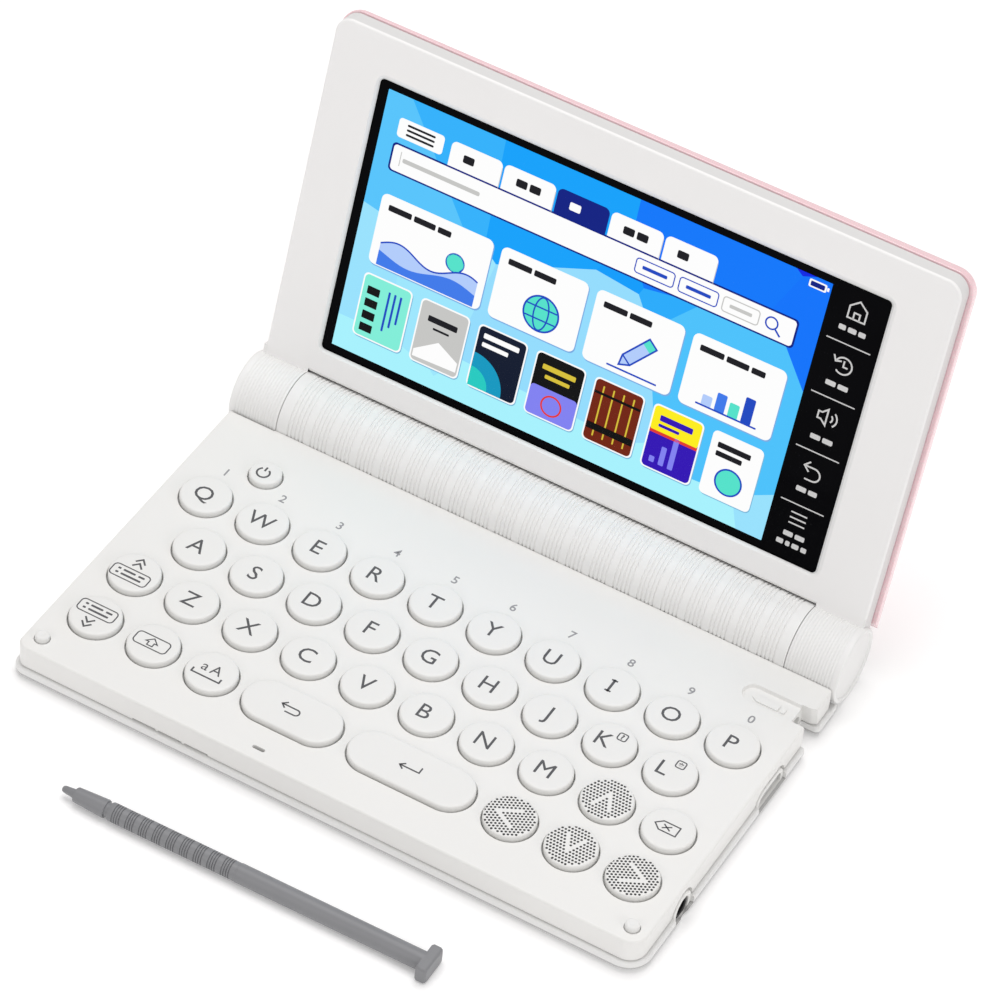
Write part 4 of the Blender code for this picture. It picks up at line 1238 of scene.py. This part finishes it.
# Each row: tile, colour, layer, left and right from the tile's left edge, low, high, corner radius.
tile_bars = [(0, black, 4, 1.4, 4.4, low, low + 1.9, 0.1) for low in (23.2, 26.2, 29.2, 32.2)]
tile_bars += [(0, ink_blue, 4, 6.4 + a, 6.9 + a, 25.0 + a, 34.6, 0.1) for a in (0, 1.4, 2.8)]
tile_bars += [(4, gold, 4, a, a + 0.35, 23.2, 35.4, 0.1) for a in (2.2, 4.6, 7.0, 9.4)]
tile_bars += [(5, violet, 5, 1.8 + a, 3.0 + a, 23.4, 24.8 + 1.4 * a, 0.2) for a in (0, 2.2, 4.4)]
tile_bars += [
    (1, dark, 4, 2.4, 9.5, 32.2, 33.6, 0.2),
    (1, dark, 4, 4.0, 7.9, 30.6, 31.1, 0.1),
    (2, white, 4, 1.6, 10.1, 34.0, 35.2, 0.2),
    (2, white, 4, 1.6, 7.9, 32.0, 33.0, 0.2),
    (3, violet, 4, 0.35, 11.55, 21.95, 29.0, 0.9),
    (3, gold, 5, 2.0, 9.9, 33.2, 34.4, 0.2),
    (3, gold, 5, 3.0, 8.9, 31.2, 32.1, 0.2),
    (4, black, 5, 0.5, 11.4, 24.6, 26.2, 0.1),
    (4, black, 5, 0.5, 11.4, 33.2, 33.8, 0.1),
    (5, yellow, 4, 0.35, 11.55, 30.6, 36.65, 0.9),
    (5, red, 5, 0.35, 11.55, 30.2, 30.9, 0.05),
    (5, indigo, 5, 2.0, 9.7, 33.4, 34.8, 0.2),
    (5, indigo, 5, 2.0, 6.9, 32.0, 32.7, 0.2),
    (6, dark, 4, 1.6, 9.3, 33.4, 34.7, 0.2),
    (6, dark, 4, 1.6, 7.7, 31.4, 32.6, 0.2),
]
for number, colour, depth, left, right, low, high, radius in tile_bars:
    paint(colour, leaf(depth, tile_left(number) + left, tile_left(number) + right, low, high, radius))
peak = ((0.7, 24.5), (6.0, 28.2), (11.2, 25.4), (11.2, 23.2), (0.7, 22.8))
paint(white, sheet(4, [(tile_left(1) + a, b) for a, b in peak]))
for colour, depth, radius in ((screen_colour(20, 150, 190), 4, 8.0), (screen_colour(40, 200, 190), 5, 4.6)):
    corner = (tile_left(2) + 0.4, 22.0)
    paint(colour, sheet(depth, np.vstack((arc(*corner, radius, 0, 90), corner))))
middle = 0.5 * tile_width
paint(red, ring(5, tile_left(3) + middle, 25.4, 2.3, 0.4, 24))
paint(teal, disc(4, tile_left(6) + middle, 26.4, 3.0))
paint(ink_blue, ring(5, tile_left(6) + middle, 26.4, 3.0, 0.4))
print(len(menu), "plates in all")

# %% Put the picture on the lid
ground_plate = plate(rounded(-58.2, 46.2, 17.0, 79.5, 0.05, 1), picture_level, 0.08)
piece("menu_facets", leaned(ground_plate), menu_ground, "lid")
picture = piece("menu_plates", leaned(joined([shape for shape, _ in menu])), menu_paint, "lid")
tints = np.concatenate([np.tile((*colour, 1.0), (len(shape[0]), 1)) for shape, colour in menu])
tint = picture.data.attributes.new("tint", "FLOAT_COLOR", "POINT")
tint.data.foreach_set("color", tints.ravel().astype(np.float32))
print(len(tints), "coloured points")

# %% [markdown]
# ## Signs beside the display
#
# Five touch signs are printed in white at the right edge of the glass, with thin rules between them and
# short bars under each.

# %% The strip of touch signs
strip_level = -2.54


def stroke(path, width=0.36, closed=False):
    return band(path, width, strip_level, closed, 0.05)


def bars(y, widths, height=1.15):
    """Small level bars in a row, centred on the strip."""
    total = sum(widths) + 0.5 * (len(widths) - 1)
    left, made = 52.75 - 0.5 * total, []
    for width in widths:
        flat = rounded(left, left + width, y - 0.5 * height, y + 0.5 * height, 0.25, 2)
        made.append(plate(flat, strip_level, 0.05))
        left += width + 0.5
    return made


house = ((50.9, 76.6), (52.85, 78.2), (54.8, 76.6), (54.8, 73.9), (50.9, 73.9))
horn = ((50.6, 51.2), (51.4, 51.2), (52.6, 52.3), (52.6, 48.5), (51.4, 49.6), (50.6, 49.6))
strip = [stroke(path, closed=True) for path in (house, horn)]
strip += [
    stroke(path)
    for path in (
        ((52.2, 73.9), (52.2, 75.4), (53.5, 75.4), (53.5, 73.9)),
        arc(53.0, 63.0, 1.9, 160, -135, 30),
        ((53.0, 64.2), (53.0, 62.8), (54.0, 62.8)),
        ((50.5, 64.8), (51.1, 63.5), (52.4, 63.9)),
        arc(52.9, 50.4, 1.0, -50, 50, 8),
        arc(52.9, 50.4, 2.0, -50, 50, 12),
        np.concatenate((((51.0, 38.0),), arc(53.2, 36.5, 1.5, 90, -90, 14), ((51.5, 35.0),))),
        ((52.0, 39.2), (50.8, 38.0), (52.0, 36.8)),
    )
]
strip += [stroke(((50.8, level), (54.5, level)), 0.32) for level in (26.5, 25.2, 23.9)]
strip += [stroke(((47.8, level), (57.8, level)), 0.26) for level in (67.95, 54.9, 41.7, 28.55)]
for level, widths in ((71.3, (1.6, 1.9, 1.6)), (58.2, (2.3, 2.3)), (45.1, (2.3, 2.3)), (32.3, (2.3, 2.0))):
    strip += bars(level, widths)
strip += bars(21.2, (2.2, 2.2)) + bars(18.9, (1.6, 1.0, 1.6, 1.3))
strip_white = plain_finish("strip_white", (0.62, 0.62, 0.62), (0.68, 0.68, 0.68), 0.4, 0.3)
piece("touch_signs", leaned(joined(strip)), strip_white, "lid")

# %% [markdown]
# ## The pen
#
# The pen is turned about its own axis: a fine tip, a cone, a grip with groups of rings and a plain shaft,
# with a flat T-shaped head. It is drawn along X and then laid down with a small turn.

# %% The pen's shape and place
def pen_rings():
    """(along, radius) pairs of the pen, with shallow ring grooves on its grip."""
    profile = [(0, 0.35), (0.15, 0.6), (0.5, 0.75), (3.0, 1.0), (3.05, 1.45), (3.3, 1.65)]
    profile += [(10.2, 2.0), (10.4, 1.9), (10.45, 1.6), (11.25, 1.6), (11.3, 1.9), (11.5, 2.0)]
    for group in np.arange(12.6, 40.5, 3.2):
        for ring in group + np.arange(4) * 0.55:
            profile += [(ring - 0.14, 2.02), (ring - 0.05, 1.8), (ring + 0.05, 1.8), (ring + 0.14, 2.02)]
    profile += [(41.2, 2.0), (41.3, pen_radius), (84.6, pen_radius)]
    return turned(profile, (0, 0), 64)


def head_path(inset):
    """The head's outline from its end, a block with round corners."""
    return outline(inset - 3.7, 3.7 - inset, inset - 2.1, 2.1 - inset, (0.55,) * 4, 6)


head_steps = ((0.55, 83.5), (0.2, 83.62), (0, 84.0), (0, 85.5), (0.18, 85.9), (0.5, 86.1))
pen_middle, pen_half, pen_radius, pen_turn = (-3.6, -72.49), 43.05, 2.1, math.radians(0.9)


def laid_down(shape):
    """Turn the pen by a small angle about its middle, lay it on the table and put it in front of the base."""
    points, faces = shape
    x, y, z = (points + (-pen_half, 0, pen_radius)).T
    across = pen_middle[0] + x * math.cos(pen_turn) - y * math.sin(pen_turn)
    along = pen_middle[1] + x * math.sin(pen_turn) + y * math.cos(pen_turn)
    return np.column_stack((across, along, z)), faces


piece("pen", laid_down(solid(pen_rings())), stylus_grey, "stylus", ("stylus",),
      joins=(laid_down(sideways(raised(head_path, head_steps))),), angle=40)

# %% Bumpers, jack and port cover
dome_steps = [(0, 7.9), (0, 9.3)] + round_over(0, key_top + 0.1, 0.62, 8)
dome_steps += [(0.85, key_top + 0.1), (1.05, key_top)]
for word, (x, y) in bumpers.items():
    dome = puck(x, y, 0, 1.55, dome_steps, 48)
    piece(f"bumper_{word}_dome", dome, bumper_white, "base", (f"bumper_{word}",))


def flap_path(inset):
    """The flap from the side, in (y, z). Its foot is lifted to the level where the lip is widest."""
    return lifted(stadium(port_y - 0.6, port_z - 0.15, 2.7, 2.05 - inset, 64), line_level + 0.2 * inset)


# The flap's grey colour is painted shade, which darkens the cover in its recess.
flap_painted_shade = white_plastic("flap_painted_shade", (0.47, 0.47, 0.46), (0.52, 0.52, 0.51), 0.6, 0.5, 2000, 0.02)
flap = sideways(raised(flap_path, [(0, 72.0), (0, 72.75)] + round_over(0, 72.95, 0.2, 4)))
flap[0][:, 0] += 0.22 * (flap[0][:, 2] - port_z)
piece("port_flap", flap, flap_painted_shade, "port_cover", ("port_cover",))


def collar(centre, half_run, radius, width, foot):
    """A rim round an opening, from the side in (y, z). What lies below the level of its foot is lifted to it."""

    def path(inset):
        return lifted(stadium(*centre, half_run, radius - inset, 72), foot + 0.2 * inset)

    rim = [(0, 72.0), (0, 73.1), (0.12, 73.35), (0.35, 73.45)]
    rim += [(width - 0.2, 73.45), (width, 73.3), (width, 72.0)]
    return sideways(solid(carried(path, rim), loop=True))


# Each row: middle, half run and radius of the opening, the rim's width, the level of its foot.
collars = {
    "jack_collar": (jack, 0, 3.8, 1.2, 0.45),
    "port_collar": ((port_y, port_z), 2.9, 3.1, 1.05, line_level),
}
for name, sizes in collars.items():
    piece(name, collar(*sizes), deck_white, "base")

tube = ((60.3, 2.35), (72.2, 2.35), (72.3, 2.25), (72.3, 1.85), (72.1, 1.75), (61.3, 1.75), (60.9, 1.2))
piece(
    "jack_tube", solid(turned(tube, jack_bore, 64)), black_plastic, "base",
    ("headphone_jack",),
)
mouth = ((72.0, 2.57), (73.0, 2.57), (73.08, 2.5), (73.08, 1.9), (72.95, 1.75), (72.0, 1.75))
piece("jack_mouth", solid(turned(mouth, jack, 64), loop=True), black_plastic, "base")

# %% [markdown]
# ## Inner parts and the glass
#
# These solids are already right: they get a finish, and their shape is left alone.

# %% Finishes for the solids that stay
board_green = plain_finish("board_green", (0.02, 0.13, 0.06), (0.03, 0.18, 0.08), 0.5, 0.35)
membrane_grey = plain_finish("membrane_grey", (0.30, 0.31, 0.33), (0.36, 0.37, 0.39), 0.8, 0.7)
cell_blue = plain_finish("cell_blue", (0.05, 0.07, 0.28), (0.08, 0.10, 0.36), 0.38, 0.28, Metallic=0.3)
panel_silver = plain_finish("panel_silver", (0.5, 0.5, 0.52), (0.6, 0.6, 0.62), 0.4, 0.3, Metallic=0.8)
stay = {
    "touch_glass": black_glass,
    "lcd_panel": panel_silver,
    "main_board": board_green,
    "key_membrane": membrane_grey,
    "speaker": black_plastic,
    "port_socket": bright_metal,
    "battery_contact": bright_metal,
    "hinge_pin_left": bright_metal,
    "hinge_pin_right": bright_metal,
    "battery_left": cell_blue,
    "battery_right": cell_blue,
}
for name, finish in stay.items():
    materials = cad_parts[name].data.materials
    materials.clear()
    materials.append(finish)
print(len(stay), "solids kept")

# %% [markdown]
# ## Table and light
#
# A product photograph of a white object needs soft light from nearly everywhere, with a little more from
# above than from the front, so that upright walls come out a shade darker than the deck.

# %% The table
def table_top():
    """A wide flat sheet, a little below the object's underside."""
    across = np.linspace(-2500, 2500, 9)
    x, y = np.meshgrid(across, across)
    points = np.stack((x, y, np.full_like(x, -0.05)), axis=-1).reshape(-1, 3)
    row, column = np.mgrid[0:8, 0:8]
    first = row * 9 + column
    return points, np.stack((first, first + 1, first + 10, first + 9), axis=-1).reshape(-1, 4).tolist()


table = as_object("table", table_top())
paper, paper_shader, paper_place = new_finish(
    "paper", Roughness=0.9, Specular_IOR_Level=0.1, Emission_Strength=0.13
)
drive(paper_shader, Base_Color=paper_place.noise(3.0).blend((0.95, 0.95, 0.95, 1), (0.97, 0.97, 0.97, 1)))
paper_shader.inputs["Emission Color"].default_value = (1, 1, 1, 1)
table.data.materials.append(paper)

# %% The lights
world = bpy.data.worlds.new("studio")
world.use_nodes = True
background = world.node_tree.nodes["Background"]
background.inputs["Color"].default_value = (1.0, 0.972, 0.965, 1)
background.inputs["Strength"].default_value = 0.5
bpy.context.scene.world = world


def soft_light(name, place, target, size, power):
    data = bpy.data.lights.new(name, "AREA")
    data.shape = "DISK"
    data.size = size
    data.energy = power
    light = bpy.data.objects.new(name, data)
    bpy.context.scene.collection.objects.link(light)
    light.location = place
    light.rotation_euler = (Vector(target) - Vector(place)).to_track_quat("-Z", "Y").to_euler()


bpy.context.scene.view_settings.view_transform = "Standard"
soft_light("overhead", (-0.1, 0.2, 1.1), (0, 0, 0.02), 1.0, 6.4)
soft_light("front", (-0.35, -1.2, 0.75), (0, 0, 0.04), 0.8, 2.6)
soft_light("right", (1.2, -0.3, 0.5), (0, 0, 0.04), 0.6, 2.6)
print("three lights")
